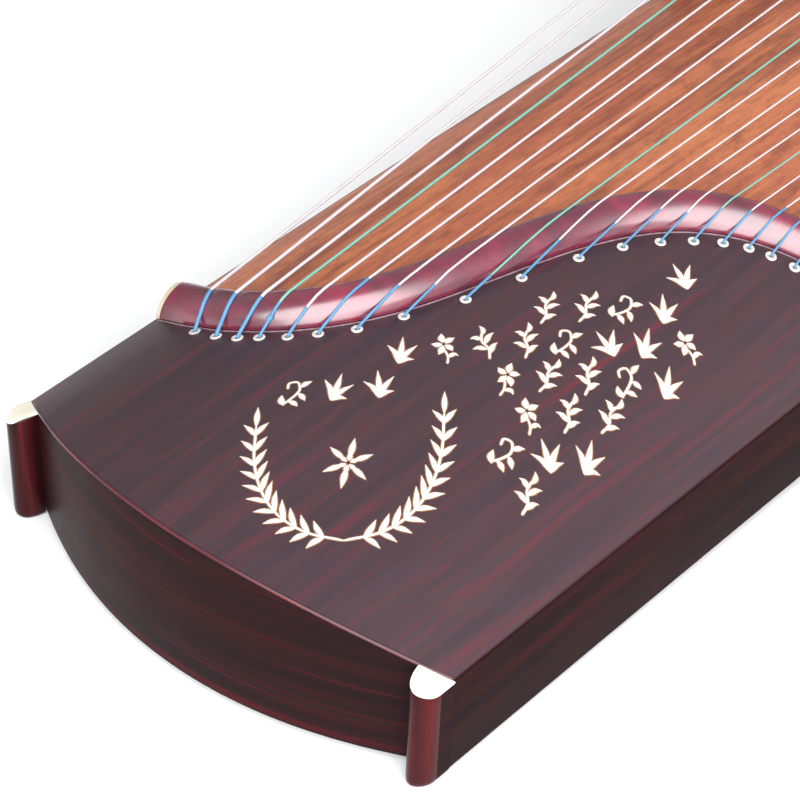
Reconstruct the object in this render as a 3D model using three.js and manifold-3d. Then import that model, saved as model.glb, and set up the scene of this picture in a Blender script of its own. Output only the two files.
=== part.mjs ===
// Guzheng: a 21-string arched long zither with movable bridges.
// Millimetres, +Z up. X runs along the body: -X is the tail (panel with the
// string holes and the curved rear bridge), +X is the head (tuning box).
// -Y is the player's side, +Y the far side. Origin: bottom centre, on the
// plane that the four corner posts stand on.
import * as THREE from 'three';
import { mergeVertices } from 'three/addons/utils/BufferGeometryUtils.js';
import Module from 'manifold-3d';

const wasm = await Module();
wasm.setup();

// ---------------------------------------------------------------- dimensions
const TAIL_X = -768.5;        // tail corners
const HEAD_X = 795.7;           // head corners
const TAIL_BULGE = 46.5;      // plan bulge of the tail end
const HEAD_BULGE = 15;        // plan bulge of the head end
const TAIL_HALF_WIDTH = 150;
const TAPER = 0.0178;         // half width gained per mm towards the head
const SIDE_HEIGHT = 61.24;    // side height, bottom edge to top edge
const ARCH = 11.95;           // lengthwise arch of both side edges
const ARCH_CENTRE = 21.5;
const ARCH_HALF = 790;
const CROWN = 37.23;          // cross crown at the tail
const CROWN_POWER = 2.15;
const FOOT = 2;               // posts stand this much below the side edges

const RAIL_T = 10;            // side rail thickness
const LIP = 2.5;              // lip of rails and end plates around the top
const TOP_T = 8;              // top plate thickness
const BACK_T = 6;
const BACK_RISE = 2.5;        // back board above the side's lower edge
const END_T = 12;
const GAP = 0.3;
const SEAT_GAP = 0.5;

const SEAM_S = 3;             // seam of tail panel and soundboard under the rear bridge
const BOARD_END_X = 634;      // head end of the soundboard
const NUT_X0 = 635, NUT_X1 = 651, NUT_H = 20;
const WALL_X0 = 637, WALL_X1 = 650;  // front wall of the tuning box
const HOLE_X = 664;           // string holes behind the nut
const STRIP_X1 = 677;         // end of the string-hole strip
const LID_X0 = 678, LID_X1 = 785.5;
const HEAD_IN_X = 787.5;      // inner face of the head end plate
const PIN_FLOOR = 40;         // tuning box floor below the top surface
const PIN_R = 3.0, PIN_UP = 25, PIN_DOWN = 17;
const PIN_HOLE_R = 3.55;
const HINGE_R = 2.4, HINGE_HALF = 34;
const BRACE_X0 = 170, BRACE_X1 = 180;

const STRINGS = 21;
const STRING_W = 1.0;
const GROMMET_HOLE_R = 2.0;
// string hole places on the tail panel, bass (21) to treble (1)
const HOLES = [[-684.2, 110.7], [-684, 94.5], [-680.5, 81.8], [-674.6, 71.2], [-666.4, 58.2],
  [-655.3, 46.4], [-639.8, 32.6], [-615.7, 20.8], [-582.8, 5.6], [-547.6, -4.4], [-512.1, -15.9],
  [-486.8, -26.9], [-467.7, -38.8], [-452.5, -50.7], [-440.3, -62.4], [-431.4, -74.1],
  [-425.7, -85.7], [-420.7, -98.8], [-418, -111.5], [-416.5, -124], [-416, -136.5]];
// movable bridge places across the board, bass (21) to treble (1)
const BRIDGE_Y = [134, 124.5, 104, 86.5, 67, 50, 30.5, 12.5, -4.5, -23, -41, -57, -71, -84,
  -95, -104.5, -113, -122, -131, -139.5, -148];
const BRIDGE_X_BASS = -180, BRIDGE_PITCH = 34;
const BRIDGE_H_BASS = 58, BRIDGE_H_STEP = 0.5;
// the two lowest strings: bridges set back towards the tail and taller
const BASS_BACK = [18, 12], BASS_TALL = [7, 4];
// sideways kink of each string where it crosses the rear bridge, bass to treble
const KINK = [5, 3.5, 0.5, 0.3, -0.9, -2.3, -2.9, -2.5, -0.9, 0.9, -1.8, -1.9, -1.3, -1.5,
  -2.5, -2, -1.5, -1.5, -1.5, -1.5, -1.5];
const BRIDGE_T = 13;          // thickness along the string at the foot
const NUT_PITCH = 14.2, NUT_SHIFT = -8;
const PIN_ROWS = [702, 727, 752];

// rear bridge: tail-side edge, y against x
const FRONT = [[-160, -405.8], [-140, -405.1], [-120.5, -407.5], [-101.5, -412.5], [-83.4, -420.0],
  [-66.3, -429.7], [-50.9, -441.8], [-37.4, -456.1], [-26.4, -472.4], [-17.4, -489.8], [-10.0, -507.9],
  [-3.7, -526.6], [2.0, -545.4], [7.5, -564.2], [13.2, -583.0], [19.8, -601.5], [27.8, -619.5],
  [37.9, -636.3], [50.5, -651.3], [65.6, -663.9], [82.8, -673.3], [101.5, -679.0], [121.1, -680.0],
  [140.6, -677.6], [160, -674.0]];
// rear bridge section: distance from the tail-side edge, height
const RIDGE = [[0, 0], [0.6, 3], [2.5, 7.5], [6, 11.8], [10.5, 14.7], [15, 16.2], [18.5, 16],
  [21.5, 13.8], [23.4, 10], [24, 4.5]];
const RIDGE_W = 24;
// the section shrinks towards the player's side: y against scale
const RIDGE_SCALE = [[-160, 0.72], [-100, 0.815], [-50, 0.915], [-20, 0.955], [160, 0.975]];

// ------------------------------------------------------------------ surfaces
const halfW = (x) => TAIL_HALF_WIDTH + TAPER * (x - TAIL_X);
const sideBottom = (x) => FOOT + ARCH * (1 - ((x - ARCH_CENTRE) / ARCH_HALF) ** 2);
const topZ = (x, y) => {
  const h = halfW(x), u = Math.min(Math.abs(y / h), 1);
  return sideBottom(x) + SIDE_HEIGHT + CROWN * h / TAIL_HALF_WIDTH * (1 - u ** CROWN_POWER);
};
const backZ = (x) => sideBottom(x) + BACK_RISE;
const tailX = (y) => TAIL_X - TAIL_BULGE * (1 - Math.min(Math.abs(y) / TAIL_HALF_WIDTH, 1) ** 2.03);
const HEAD_HALF = halfW(HEAD_X);
const headX = (y) => HEAD_X + HEAD_BULGE * (1 - Math.min(Math.abs(y) / HEAD_HALF, 1) ** 2);

// monotone cubic through FRONT
const slopes = (() => {
  const n = FRONT.length, h = [], d = [], m = new Array(n).fill(0);
  for (let i = 0; i < n - 1; i++) { h.push(FRONT[i + 1][0] - FRONT[i][0]); d.push((FRONT[i + 1][1] - FRONT[i][1]) / h[i]); }
  for (let i = 1; i < n - 1; i++) {
    if (d[i - 1] * d[i] > 0) {
      const w1 = 2 * h[i] + h[i - 1], w2 = h[i] + 2 * h[i - 1];
      m[i] = (w1 + w2) / (w1 / d[i - 1] + w2 / d[i]);
    }
  }
  m[0] = d[0]; m[n - 1] = d[n - 2];
  return m;
})();
function frontX(y) {
  let i = FRONT.findIndex((k) => k[0] > y) - 1;
  if (i < 0) i = y < 0 ? 0 : FRONT.length - 2;
  const [y0, x0] = FRONT[i], [y1, x1] = FRONT[i + 1], h = y1 - y0, t = (y - y0) / h;
  return x0 * (1 + 2 * t) * (1 - t) ** 2 + slopes[i] * h * t * (1 - t) ** 2
    + x1 * t * t * (3 - 2 * t) + slopes[i + 1] * h * t * t * (t - 1);
}
// stations along the rear bridge, evenly spaced, with the normal to the head side
const frontDense = [];
for (let i = 0; i <= 1200; i++) { const y = -160 + i * 320 / 1200; frontDense.push([frontX(y), y]); }
const frontNormal = frontDense.map((p, i) => {
  const a = frontDense[Math.max(i - 4, 0)], b = frontDense[Math.min(i + 4, 1200)];
  const tx = b[0] - a[0], ty = b[1] - a[1], l = Math.hypot(tx, ty);
  return [ty / l, -tx / l];
});
function ridgeScale(y) {
  for (let i = 0; i < RIDGE_SCALE.length - 1; i++) {
    const [a, ka] = RIDGE_SCALE[i], [b, kb] = RIDGE_SCALE[i + 1];
    if (y <= b) return ka + (kb - ka) * (y - a) / (b - a);
  }
  return RIDGE_SCALE[RIDGE_SCALE.length - 1][1];
}
function ridgeHeight(x, y) {
  let best = 1e9, j = 0;
  frontDense.forEach((p, i) => { const d = (p[0] - x) ** 2 + (p[1] - y) ** 2; if (d < best) { best = d; j = i; } });
  const scale = ridgeScale(frontDense[j][1]);
  const s = ((x - frontDense[j][0]) * frontNormal[j][0] + (y - frontDense[j][1]) * frontNormal[j][1]) / scale;
  if (s < 0 || s > RIDGE_W) return 0;
  for (let i = 0; i < RIDGE.length - 1; i++) {
    const [a, ha] = RIDGE[i], [b, hb] = RIDGE[i + 1];
    if (s <= b) return scale * (ha + (hb - ha) * (s - a) / (b - a));
  }
  return 0;
}

// ------------------------------------------------------------------- helpers
function clean(geometry) {
  const g = geometry.index ? geometry.toNonIndexed() : geometry.clone();
  for (const k of Object.keys(g.attributes)) if (k !== 'position') g.deleteAttribute(k);
  const m = mergeVertices(g, 1e-4);
  const p = m.attributes.position, ix = m.index.array, keep = [];
  let vol = 0;
  const a = new THREE.Vector3(), b = new THREE.Vector3(), c = new THREE.Vector3();
  for (let i = 0; i < ix.length; i += 3) {
    if (ix[i] === ix[i + 1] || ix[i + 1] === ix[i + 2] || ix[i] === ix[i + 2]) continue;
    keep.push(ix[i], ix[i + 1], ix[i + 2]);
    a.fromBufferAttribute(p, ix[i]); b.fromBufferAttribute(p, ix[i + 1]); c.fromBufferAttribute(p, ix[i + 2]);
    vol += a.dot(b.cross(c));
  }
  if (vol < 0) for (let i = 0; i < keep.length; i += 3) { const t = keep[i]; keep[i] = keep[i + 1]; keep[i + 1] = t; }
  m.setIndex(keep);
  return m;
}
// closed outline carried through `steps` stations; place(k, d) gives the point
// of outline vertex k at station fraction d
function loft(outline, steps, place) {
  const shape = new THREE.Shape(outline.map(([x, y]) => new THREE.Vector2(x, y)));
  const g = new THREE.ExtrudeGeometry(shape, { depth: 1, steps, bevelEnabled: false });
  const p = g.attributes.position;
  for (let i = 0; i < p.count; i++) {
    let k = 0, best = 1e9;
    outline.forEach(([x, y], j) => { const d = Math.hypot(p.getX(i) - x, p.getY(i) - y); if (d < best) { best = d; k = j; } });
    const q = place(k, p.getZ(i));
    p.setXYZ(i, q[0], q[1], q[2]);
  }
  return clean(g);
}
const solid = (g) => {
  const m = clean(g);
  return new wasm.Manifold(new wasm.Mesh({
    numProp: 3, vertProperties: new Float32Array(m.attributes.position.array), triVerts: new Uint32Array(m.index.array) }));
};
const surface = (man) => {
  const m = man.getMesh(), g = new THREE.BufferGeometry();
  g.setAttribute('position', new THREE.BufferAttribute(new Float32Array(m.vertProperties), 3));
  g.setIndex(new THREE.BufferAttribute(new Uint32Array(m.triVerts), 1));
  return g;
};
const cyl = (r, x, y, z0, z1, n = 8) => {
  const g = new THREE.CylinderGeometry(r, r, z1 - z0, n);
  g.rotateX(Math.PI / 2); g.translate(x, y, (z0 + z1) / 2);
  return g;
};
const boxAt = (x0, x1, y0, y1, z0, z1) => {
  const g = new THREE.BoxGeometry(x1 - x0, y1 - y0, z1 - z0);
  g.translate((x0 + x1) / 2, (y0 + y1) / 2, (z0 + z1) / 2);
  return g;
};
const lerp = (a, b, t) => a + (b - a) * t;

// crowned plate: section along x carried across y; x0(y), x1(y) its ends; inset
// from the side; up(x, y) and down(x, y) its faces; taper shortens the underside
function crowned(nx, ny, inset, x0, x1, up, down, taper = [0, 0]) {
  const outline = [], code = [];
  for (let i = 0; i <= nx; i++) { const f = i / nx; outline.push([f, 1 + 0.8 * f * (1 - f)]); code.push([f, 1]); }
  for (let i = nx; i >= 0; i--) { const f = i / nx; outline.push([f, 0.8 * f * (1 - f)]); code.push([f, 0]); }
  return loft(outline, ny, (k, d) => {
    const [f, w] = code[k], v = Math.sin((d - 0.5) * Math.PI * 0.8) / Math.sin(Math.PI * 0.4);
    let x = 0, y = v * TAIL_HALF_WIDTH;
    for (let i = 0; i < 8; i++) {
      x = lerp(x0(y) + taper[0] * (1 - w), x1(y) - taper[1] * (1 - w), f);
      y = v * (halfW(x) - inset);
    }
    return [x, y, w ? up(x, y) : down(x, y)];
  });
}

const MAT = (color, roughness, metalness = 0) => new THREE.MeshStandardMaterial({ color, roughness, metalness });
const rosewood = () => MAT(0x4a2b30, 0.4);
const group = new THREE.Group();
function add(name, geometry, material) {
  const mesh = new THREE.Mesh(geometry, material);
  mesh.name = name;
  group.add(mesh);
  return mesh;
}

// ---------------------------------------------------------------- top plates
const INSET = LIP + GAP;
const seamX = (y) => frontX(Math.max(-160, Math.min(160, y))) + SEAM_S;
const under = (x, y) => topZ(x, y) - TOP_T;
add('soundboard', crowned(8, 30, INSET, (y) => seamX(y) + GAP, () => BOARD_END_X, topZ, under), MAT(0xb9703f, 0.45));

{
  let panel = solid(crowned(5, 30, INSET, (y) => tailX(y) + LIP + GAP, seamX, topZ, under));
  for (const [x, y] of HOLES) panel = panel.subtract(solid(cyl(GROMMET_HOLE_R, x, y, topZ(x, y) - 20, topZ(x, y) + 10, 7)));
  add('tail_panel', surface(panel), rosewood());
}

// --------------------------------------------------------------- rear bridge
{
  const along = [0];
  for (let i = 1; i <= 1200; i++) along.push(along[i - 1] + Math.hypot(frontDense[i][0] - frontDense[i - 1][0], frontDense[i][1] - frontDense[i - 1][1]));
  // trimmed to the sides of the body
  const lo = frontDense.findIndex((p) => p[1] >= -halfW(p[0])), hi = frontDense.findLastIndex((p) => p[1] <= halfW(p[0]));
  const STEPS = 40, stations = [];
  for (let s = 0; s <= STEPS; s++) {
    const want = lerp(along[lo], along[hi], s / STEPS);
    let k = along.findIndex((a) => a >= want - 1e-9);
    k = Math.max(lo, Math.min(hi, k));
    stations.push([frontDense[k], s === 0 || s === STEPS ? [1, 0] : frontNormal[k]]);
  }
  const code = [...RIDGE.slice(1), [24, 0], [12, 0], [0, 0]];
  const shape = [...RIDGE.slice(1).map((p) => [p[0], p[1]]), [24, 0], [12, 0.6], [0, 0]];
  add('rear_bridge', loft(shape, STEPS, (k, d) => {
    const [p, n] = stations[Math.round(d * STEPS)], c = ridgeScale(p[1]), s = code[k][0] * c, h = code[k][1] * c;
    const x = p[0] + n[0] * s, y = p[1] + n[1] * s;
    return [x, y, topZ(x, y) + 0.4 + h];
  }), MAT(0x5a2a3a, 0.2));
}

// ---------------------------------------------------------------- side rails
function rail(side) {
  // inward distance, height code: 0 lower edge, 1 seat under the top plate, 2 top of the lip
  const section = [[0, 0], [RAIL_T, 0], [RAIL_T, 1], [LIP, 1], [LIP, 2], [0, 2]];
  const outline = section.map(([s, w]) => [s * 0.1, w]);
  return loft(outline, 20, (k, d) => {
    const [s, w] = section[k];
    let x = 0, y = 0;
    for (let i = 0; i < 6; i++) {
      y = halfW(x) - s;
      x = lerp(tailX(Math.min(y, TAIL_HALF_WIDTH)), headX(y), d);
    }
    y = halfW(x) - s;
    const z = w === 0 ? sideBottom(x) : w === 1 ? topZ(x, y) - TOP_T - SEAT_GAP : topZ(x, y);
    return [x, side * y, z];
  });
}
add('side_rail_near', rail(-1), rosewood());
add('side_rail_far', rail(1), rosewood());

// ---------------------------------------------------------------- end plates
const YE = (x) => halfW(x) - RAIL_T - GAP;
// filler over the seat of a side rail, from the part beside it out to the rail's lip
function seatFiller(side, xa, xb, depth) {
  const code = [[0, 0], [1, 0], [1, 1], [0, 1]];
  return solid(loft(code, 2, (k, d) => {
    const [f, w] = code[k];
    let x = 0, y = TAIL_HALF_WIDTH;
    for (let i = 0; i < 8; i++) {
      x = f ? xb(y) : xa(y);
      y = lerp(YE(x) - 0.6, halfW(x) - LIP - GAP, d);
    }
    return [x, side * y, topZ(x, y) - (w ? 0.06 : depth)];
  }));
}
{
  // sections run across y; distance from the outer face, height code
  const section = [[0, 0], [END_T, 0], [END_T, 1], [LIP, 1], [LIP, 2], [0, 2]];
  const outline = section.map(([s, w]) => [s * 0.1, w]);
  const yMax = YE(TAIL_X) - 0.2;
  let plate = solid(loft(outline, 22, (k, d) => {
    const [s, w] = section[k], y = lerp(-yMax, yMax, d), x = tailX(y) + s;
    const z = w === 0 ? backZ(TAIL_X) : w === 1 ? topZ(x, y) - TOP_T - SEAT_GAP : topZ(x, y);
    return [x, y, z];
  }));
  for (const side of [-1, 1]) plate = plate.add(seatFiller(side, (y) => tailX(Math.abs(y)), (y) => tailX(Math.abs(y)) + LIP, TOP_T + SEAT_GAP - GAP));
  add('tail_end_plate', surface(plate), rosewood());
}
{
  const vs = Array.from({ length: 17 }, (_, i) => (i / 8 - 1));
  const yMax = YE(HEAD_IN_X) - 0.2;
  const outline = [[0, 0], [1, 0], [1, 1], [0, 1]];
  const code = [[0, 0], [1, 0], [1, 1], [0, 1]];
  let plate = solid(loft(outline, 16, (k, d) => {
    const [s, w] = code[k], y = lerp(-yMax, yMax, d);
    const x = s ? headX(y) : HEAD_IN_X;
    return [x, y, w ? topZ(x, y) : backZ(x)];
  }));
  for (const side of [-1, 1]) plate = plate.add(seatFiller(side, () => HEAD_IN_X, headX, TOP_T + SEAT_GAP - GAP));
  // groove for the lid's hinge rod
  const zc = topZ(786.5, 0);
  plate = plate.subtract(solid(boxAt(780, 790.2, -HINGE_HALF - 2, HINGE_HALF + 2, zc - 8, zc + 20)));
  add('head_end_plate', surface(plate), rosewood());
}

// ---------------------------------------------------------------- head block
// one solid: front wall, thick floor for the pins, and the strip with the string holes
const stringY = (i) => (i - 11) * NUT_PITCH + NUT_SHIFT;
const floorZ = (x, y) => topZ(x, y) - PIN_FLOOR;
{
  const S = [[WALL_X0, 'b'], [HEAD_IN_X - GAP, 'b'], [HEAD_IN_X - GAP, 'f'], [WALL_X1, 'f'], [WALL_X1, 'u'],
    [STRIP_X1, 'u'], [STRIP_X1, 't'], [WALL_X0, 't']];
  const outline = [[0, 0], [10, 0], [10, 3], [1, 3], [1, 6], [3, 6], [3, 7], [0, 7]];
  // wall and floor lie between the rails; fillers carry the strip out to the rails' lips
  let block = solid(loft(outline, 16, (k, d) => {
    const [x, c] = S[k], y = lerp(-1, 1, d) * (YE(x) - 0.2);
    const z = c === 'b' ? backZ(x) + BACK_T + GAP : c === 'f' ? floorZ(x, y) : c === 'u' ? topZ(x, y) - 6 : topZ(x, y);
    return [x, y, z];
  }));
  for (const side of [-1, 1]) block = block.add(seatFiller(side, () => WALL_X0 + 0.2, () => STRIP_X1 - 0.2, 5.8));
  for (let i = 1; i <= STRINGS; i++) {
    const y = stringY(i), z = topZ(HOLE_X, y);
    block = block.subtract(solid(cyl(2.4, HOLE_X, y, z - 14, z + 8, 6)));
    const px = PIN_ROWS[i % 3], pz = floorZ(px, y + 3.4);
    block = block.subtract(solid(cyl(PIN_HOLE_R, px, y + 3.4, pz - PIN_DOWN - 1, pz + 8, 10)));
  }
  add('head_block', surface(block), rosewood());
}

// --------------------------------------------------------------------- nut
{
  const sec = [[NUT_X0, 0], [NUT_X1, 0], [NUT_X1, 12], [NUT_X1 - 3, 17.5], [643.5, NUT_H], [640.5, NUT_H], [NUT_X0 + 1, 15], [NUT_X0, 8]];
  const outline = sec.map(([x, h]) => [x, h]);
  const yMax = halfW(NUT_X0) - 4;
  add('front_bridge', loft(outline, 18, (k, d) => {
    const [x, h] = sec[k], y = lerp(-yMax, yMax, d);
    return [x, y, topZ(x, y) + 0.4 + h];
  }), MAT(0x5a2a3a, 0.2));
}

// -------------------------------------------------------------- back and brace
{
  const outline = [[0, 0], [1, 0], [1, 0.2], [0, 0.2]], code = [[-1, 0], [1, 0], [1, 1], [-1, 1]];
  const ys = 14;
  // runs across y so that its tail end follows the end plate
  const sec = [[0, 0], [0.12, -0.02], [0.5, -0.05], [0.88, -0.02], [1, 0], [1, 0.2], [0.88, 0.18], [0.5, 0.15], [0.12, 0.18], [0, 0.2]];
  const fr = [[0, 0], [0.12, 0], [0.5, 0], [0.88, 0], [1, 0], [1, 1], [0.88, 1], [0.5, 1], [0.12, 1], [0, 1]];
  const xs = (f, y) => lerp(tailX(y) + END_T + GAP, HEAD_IN_X - GAP, f);
  let back = solid(loft(sec, ys, (k, d) => {
    const [f, w] = fr[k];
    const v = lerp(-1, 1, d);
    let x = 0;
    for (let i = 0; i < 6; i++) x = xs(f, v * (YE(x) - 0.2));
    return [x, v * (YE(x) - 0.2), backZ(x) + w * BACK_T];
  }));
  for (const cx of [-330, 430]) {
    const slot = new THREE.Shape();
    const r = 18, hl = 40;
    slot.moveTo(-hl, -r);
    slot.absarc(hl, 0, r, -Math.PI / 2, Math.PI / 2, false);
    slot.absarc(-hl, 0, r, Math.PI / 2, Math.PI * 1.5, false);
    const g = new THREE.ExtrudeGeometry(slot, { depth: 40, bevelEnabled: false, curveSegments: 5 });
    g.translate(cx, 0, -5);
    back = back.subtract(solid(g));
  }
  add('back_board', surface(back), MAT(0xa87648, 0.6));
}
{
  const N = 12, top = [], bot = [];
  for (let i = 0; i <= N; i++) top.push(i / N * 2 - 1);
  const outline = top.map((v) => [v, 1 - 0.4 * v * v]).concat([[1, 0], [-1, 0]]);
  const yB = (x) => YE(x) - 0.2;
  let brace = solid(loft(outline, 1, (k, d) => {
    const x = lerp(BRACE_X0, BRACE_X1, d);
    if (k <= N) { const y = top[k] * yB(x); return [x, y, topZ(x, y) - TOP_T - SEAT_GAP]; }
    return [x, (k === N + 1 ? 1 : -1) * yB(x), backZ(x) + BACK_T + GAP];
  }));
  for (const s of [-1, 1]) brace = brace.subtract(solid(boxAt(BRACE_X0 - 5, BRACE_X1 + 5, s > 0 ? 25 : -115, s > 0 ? 115 : -25, 42, 74)));
  add('sound_brace', surface(brace), MAT(0xb48a58, 0.7));
}

// -------------------------------------------------------------------- posts
// outline of the column: inwards from the corner, outwards from the end face
const POST = [[0, 0], [0, 6], [0, 11], [0.6, 13.8], [2, 15.9], [4.5, 17.1], [7.2, 16.9], [9.6, 15.2], [11.8, 12.2],
  [13.5, 8], [14.7, 3.6], [15.3, 0]];
// the far column at the tail is the larger one
const POST_WIDE = POST.map(([t, p], i) => [t <= 1.2 ? 0.02 * i : 1.3 * t - 1.5, 1.08 * p]);
function post(xc, yc, dir, xAt, side, D = POST) {
  // rounded column on the corner of the end face; its outer flank continues the side
  const chord = D[D.length - 1][0];
  const pts = D.map(([t, p]) => [xAt(yc - t) + dir * (p + GAP), yc - t]);
  const outline = pts.map(([x, y]) => [dir * (x - xc), y]);
  const zAt = (y) => topZ(xc, y) - 1.5;
  return loft(outline, 3, (k, d) => {
    const [x, y] = pts[k], s = Math.round(d * 3);
    const xm = xAt(yc - chord / 2) + dir * 5, ym = yc - chord / 2;
    const sh = s === 0 ? 0.8 : 1;
    const z = [0, 3.2, 30, zAt(y)][s];
    const onChord = k === 0 || k === D.length - 1;
    return [onChord ? x : lerp(xm, x, sh), side * (s === 0 ? lerp(ym, y, k === 0 ? 1 : sh) : y), z];
  });
}
add('post_tail_near', post(TAIL_X, TAIL_HALF_WIDTH, -1, tailX, -1), MAT(0x6a2028, 0.3));
add('post_tail_far', post(TAIL_X, TAIL_HALF_WIDTH, -1, tailX, 1, POST_WIDE), MAT(0x6a2028, 0.3));
add('post_head_near', post(HEAD_X, HEAD_HALF, 1, headX, -1), MAT(0x6a2028, 0.3));
add('post_head_far', post(HEAD_X, HEAD_HALF, 1, headX, 1), MAT(0x6a2028, 0.3));

// ---------------------------------------------------------------------- lid
const hingeX = 786.5, hingeZ = topZ(786.5, 0) - 0.2;
{
  let lid = solid(crowned(3, 14, LIP + 1.8, () => LID_X0, () => LID_X1, topZ, under, [4.4, 0]));
  lid = lid.subtract(solid(boxAt(782.6, 800, -HINGE_HALF - 2, HINGE_HALF + 2, hingeZ - 30, hingeZ + 20)));
  add('tuning_box_lid', surface(lid), rosewood());
}
{
  const g = new THREE.CylinderGeometry(HINGE_R, HINGE_R, 2 * HINGE_HALF, 10);
  g.translate(hingeX, 0, hingeZ);
  add('lid_hinge_rod', clean(g), MAT(0xc9a24a, 0.3, 1));
}

// --------------------------------------------------------- movable bridges
const bridges = [];
for (let i = STRINGS; i >= 1; i--) {
  const n = STRINGS - i, x = BRIDGE_X_BASS + n * BRIDGE_PITCH - (BASS_BACK[n] ?? 0), y = BRIDGE_Y[n];
  const h = BRIDGE_H_BASS - n * BRIDGE_H_STEP + (BASS_TALL[n] ?? 0);
  const w = 0.35 * h;                        // half width of the foot
  // outline across y: feet, open arch, waist, narrow head
  const half = [[w, 0], [w, 5], [w * 0.86, 10], [w * 0.60, h * 0.42], [w * 0.40, h * 0.60], [w * 0.24, h * 0.80], [w * 0.17, h - 1.5], [2.2, h]];
  const arch = [[-w * 0.5, 0], [-w * 0.46, h * 0.14], [-w * 0.26, h * 0.27], [0, h * 0.32], [w * 0.26, h * 0.27], [w * 0.46, h * 0.14], [w * 0.5, 0]];
  const pts = [...half, ...[...half].reverse().map(([a, b]) => [-a, b]), ...arch];
  const base = (yy) => topZ(x, yy) + 0.45;
  const zFoot = (yy) => {                    // foot soles follow the crown
    const r = lerp(base(y), base(yy), 1);
    return r;
  };
  const outline = pts.map(([a, b]) => [a, b]);
  const zc = topZ(x, y);
  const slope = -2 * ARCH * (x - ARCH_CENTRE) / ARCH_HALF ** 2;
  const g = loft(outline, 1, (k, d) => {
    const [a, b] = pts[k], t = lerp(BRIDGE_T / 2, 1.8, Math.min(b / h, 1));
    const xx = x + (d ? t : -t);
    const yy = y + a;
    const f = Math.max(0, 1 - b / (h * 0.6));   // blend from crown-following soles to a level head
    const z = zc + 0.45 + b - (b === h ? 0.45 : 0) + f * (topZ(x, yy) - zc) + slope * (xx - x);
    return [xx, yy, z];
  });
  add(`bridge_${String(i).padStart(2, '0')}`, g, MAT(0x5a3326, 0.35));
  bridges.push({ i, x, y, h, top: zc + h });
}

// -------------------------------------------------------------- tuning pins
for (let i = STRINGS; i >= 1; i--) {
  const y = stringY(i), px = PIN_ROWS[i % 3], py = y + 3.4, z = floorZ(px, py);
  const round = new THREE.LatheGeometry([[0, -PIN_DOWN], [PIN_R, -PIN_DOWN], [PIN_R, PIN_UP - 8], [0, PIN_UP - 8]].map((p) => new THREE.Vector2(...p)), 8);
  const square = new THREE.BoxGeometry(3.8, 10, 3.8);
  square.translate(0, PIN_UP - 5, 0);
  const pin = solid(round).add(solid(square));
  const g = surface(pin);
  g.rotateX(Math.PI / 2);
  const m = add(`tuning_pin_${String(i).padStart(2, '0')}`, clean(g), MAT(0xb8b8b8, 0.3, 1));
  m.position.set(px, py, z);
}

// ------------------------------------------------------------------ strings
// taut line: upper hull over what it passes
function taut(list) {
  const out = [];
  for (const p of list) {
    while (out.length >= 2) {
      const a = out[out.length - 2], b = out[out.length - 1];
      if ((b[1] - a[1]) * (p[0] - a[0]) <= (p[1] - a[1]) * (b[0] - a[0])) out.pop(); else break;
    }
    out.push(p);
  }
  return out;
}
function stringPath(i) {
  const n = STRINGS - i, g = HOLES[n], b = bridges[n], bp = [b.x, b.y], pts = [];
  const L = Math.hypot(bp[0] - g[0], bp[1] - g[1]), dx = (bp[0] - g[0]) / L, dy = (bp[1] - g[1]) / L;
  // crest of the rear bridge under the straight line, moved sideways by the kink
  let tc = 2, hc = 0;
  for (let t = 2; t < 150; t += 1) {
    const r = ridgeHeight(g[0] + dx * t, g[1] + dy * t);
    if (r > hc) { hc = r; tc = t; }
  }
  const c = [g[0] + dx * tc - dy * KINK[n], g[1] + dy * tc + dx * KINK[n]];
  const L1 = Math.hypot(c[0] - g[0], c[1] - g[1]), L2 = Math.hypot(bp[0] - c[0], bp[1] - c[1]);
  const at = (t) => t <= L1 ? [lerp(g[0], c[0], t / L1), lerp(g[1], c[1], t / L1)]
    : [lerp(c[0], bp[0], (t - L1) / L2), lerp(c[1], bp[1], (t - L1) / L2)];
  const list = [[0, topZ(...g) + 0.9]];
  for (let t = 2; t < 150; t += 2) {
    const [x, y] = at(t), r = ridgeHeight(x, y);
    if (r > 0) list.push([t, topZ(x, y) + r + 1.65]);
  }
  list.push([L1 + L2, b.top + 0.9]);
  pts.push([g[0], g[1], topZ(...g) - TOP_T - 6]);
  const line = taut(list);
  for (const [t, z] of line) pts.push([...at(t), z]);
  const y = stringY(i), px = PIN_ROWS[i % 3];
  pts.push([640, y, topZ(640, y) + NUT_H + 1.1]);
  pts.push([644.2, y, topZ(644.2, y) + NUT_H + 1.3]);
  pts.push([649.2, y, topZ(649.2, y) + 18.9]);
  pts.push([HOLE_X - 0.6, y, topZ(HOLE_X, y) + 0.8]);
  pts.push([HOLE_X + 0.6, y, topZ(HOLE_X, y) - 7.5]);
  const pz = floorZ(px, y + 3.4) + 9;
  pts.push([px - 1.0, y - 0.5, pz]);
  return pts;
}
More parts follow.
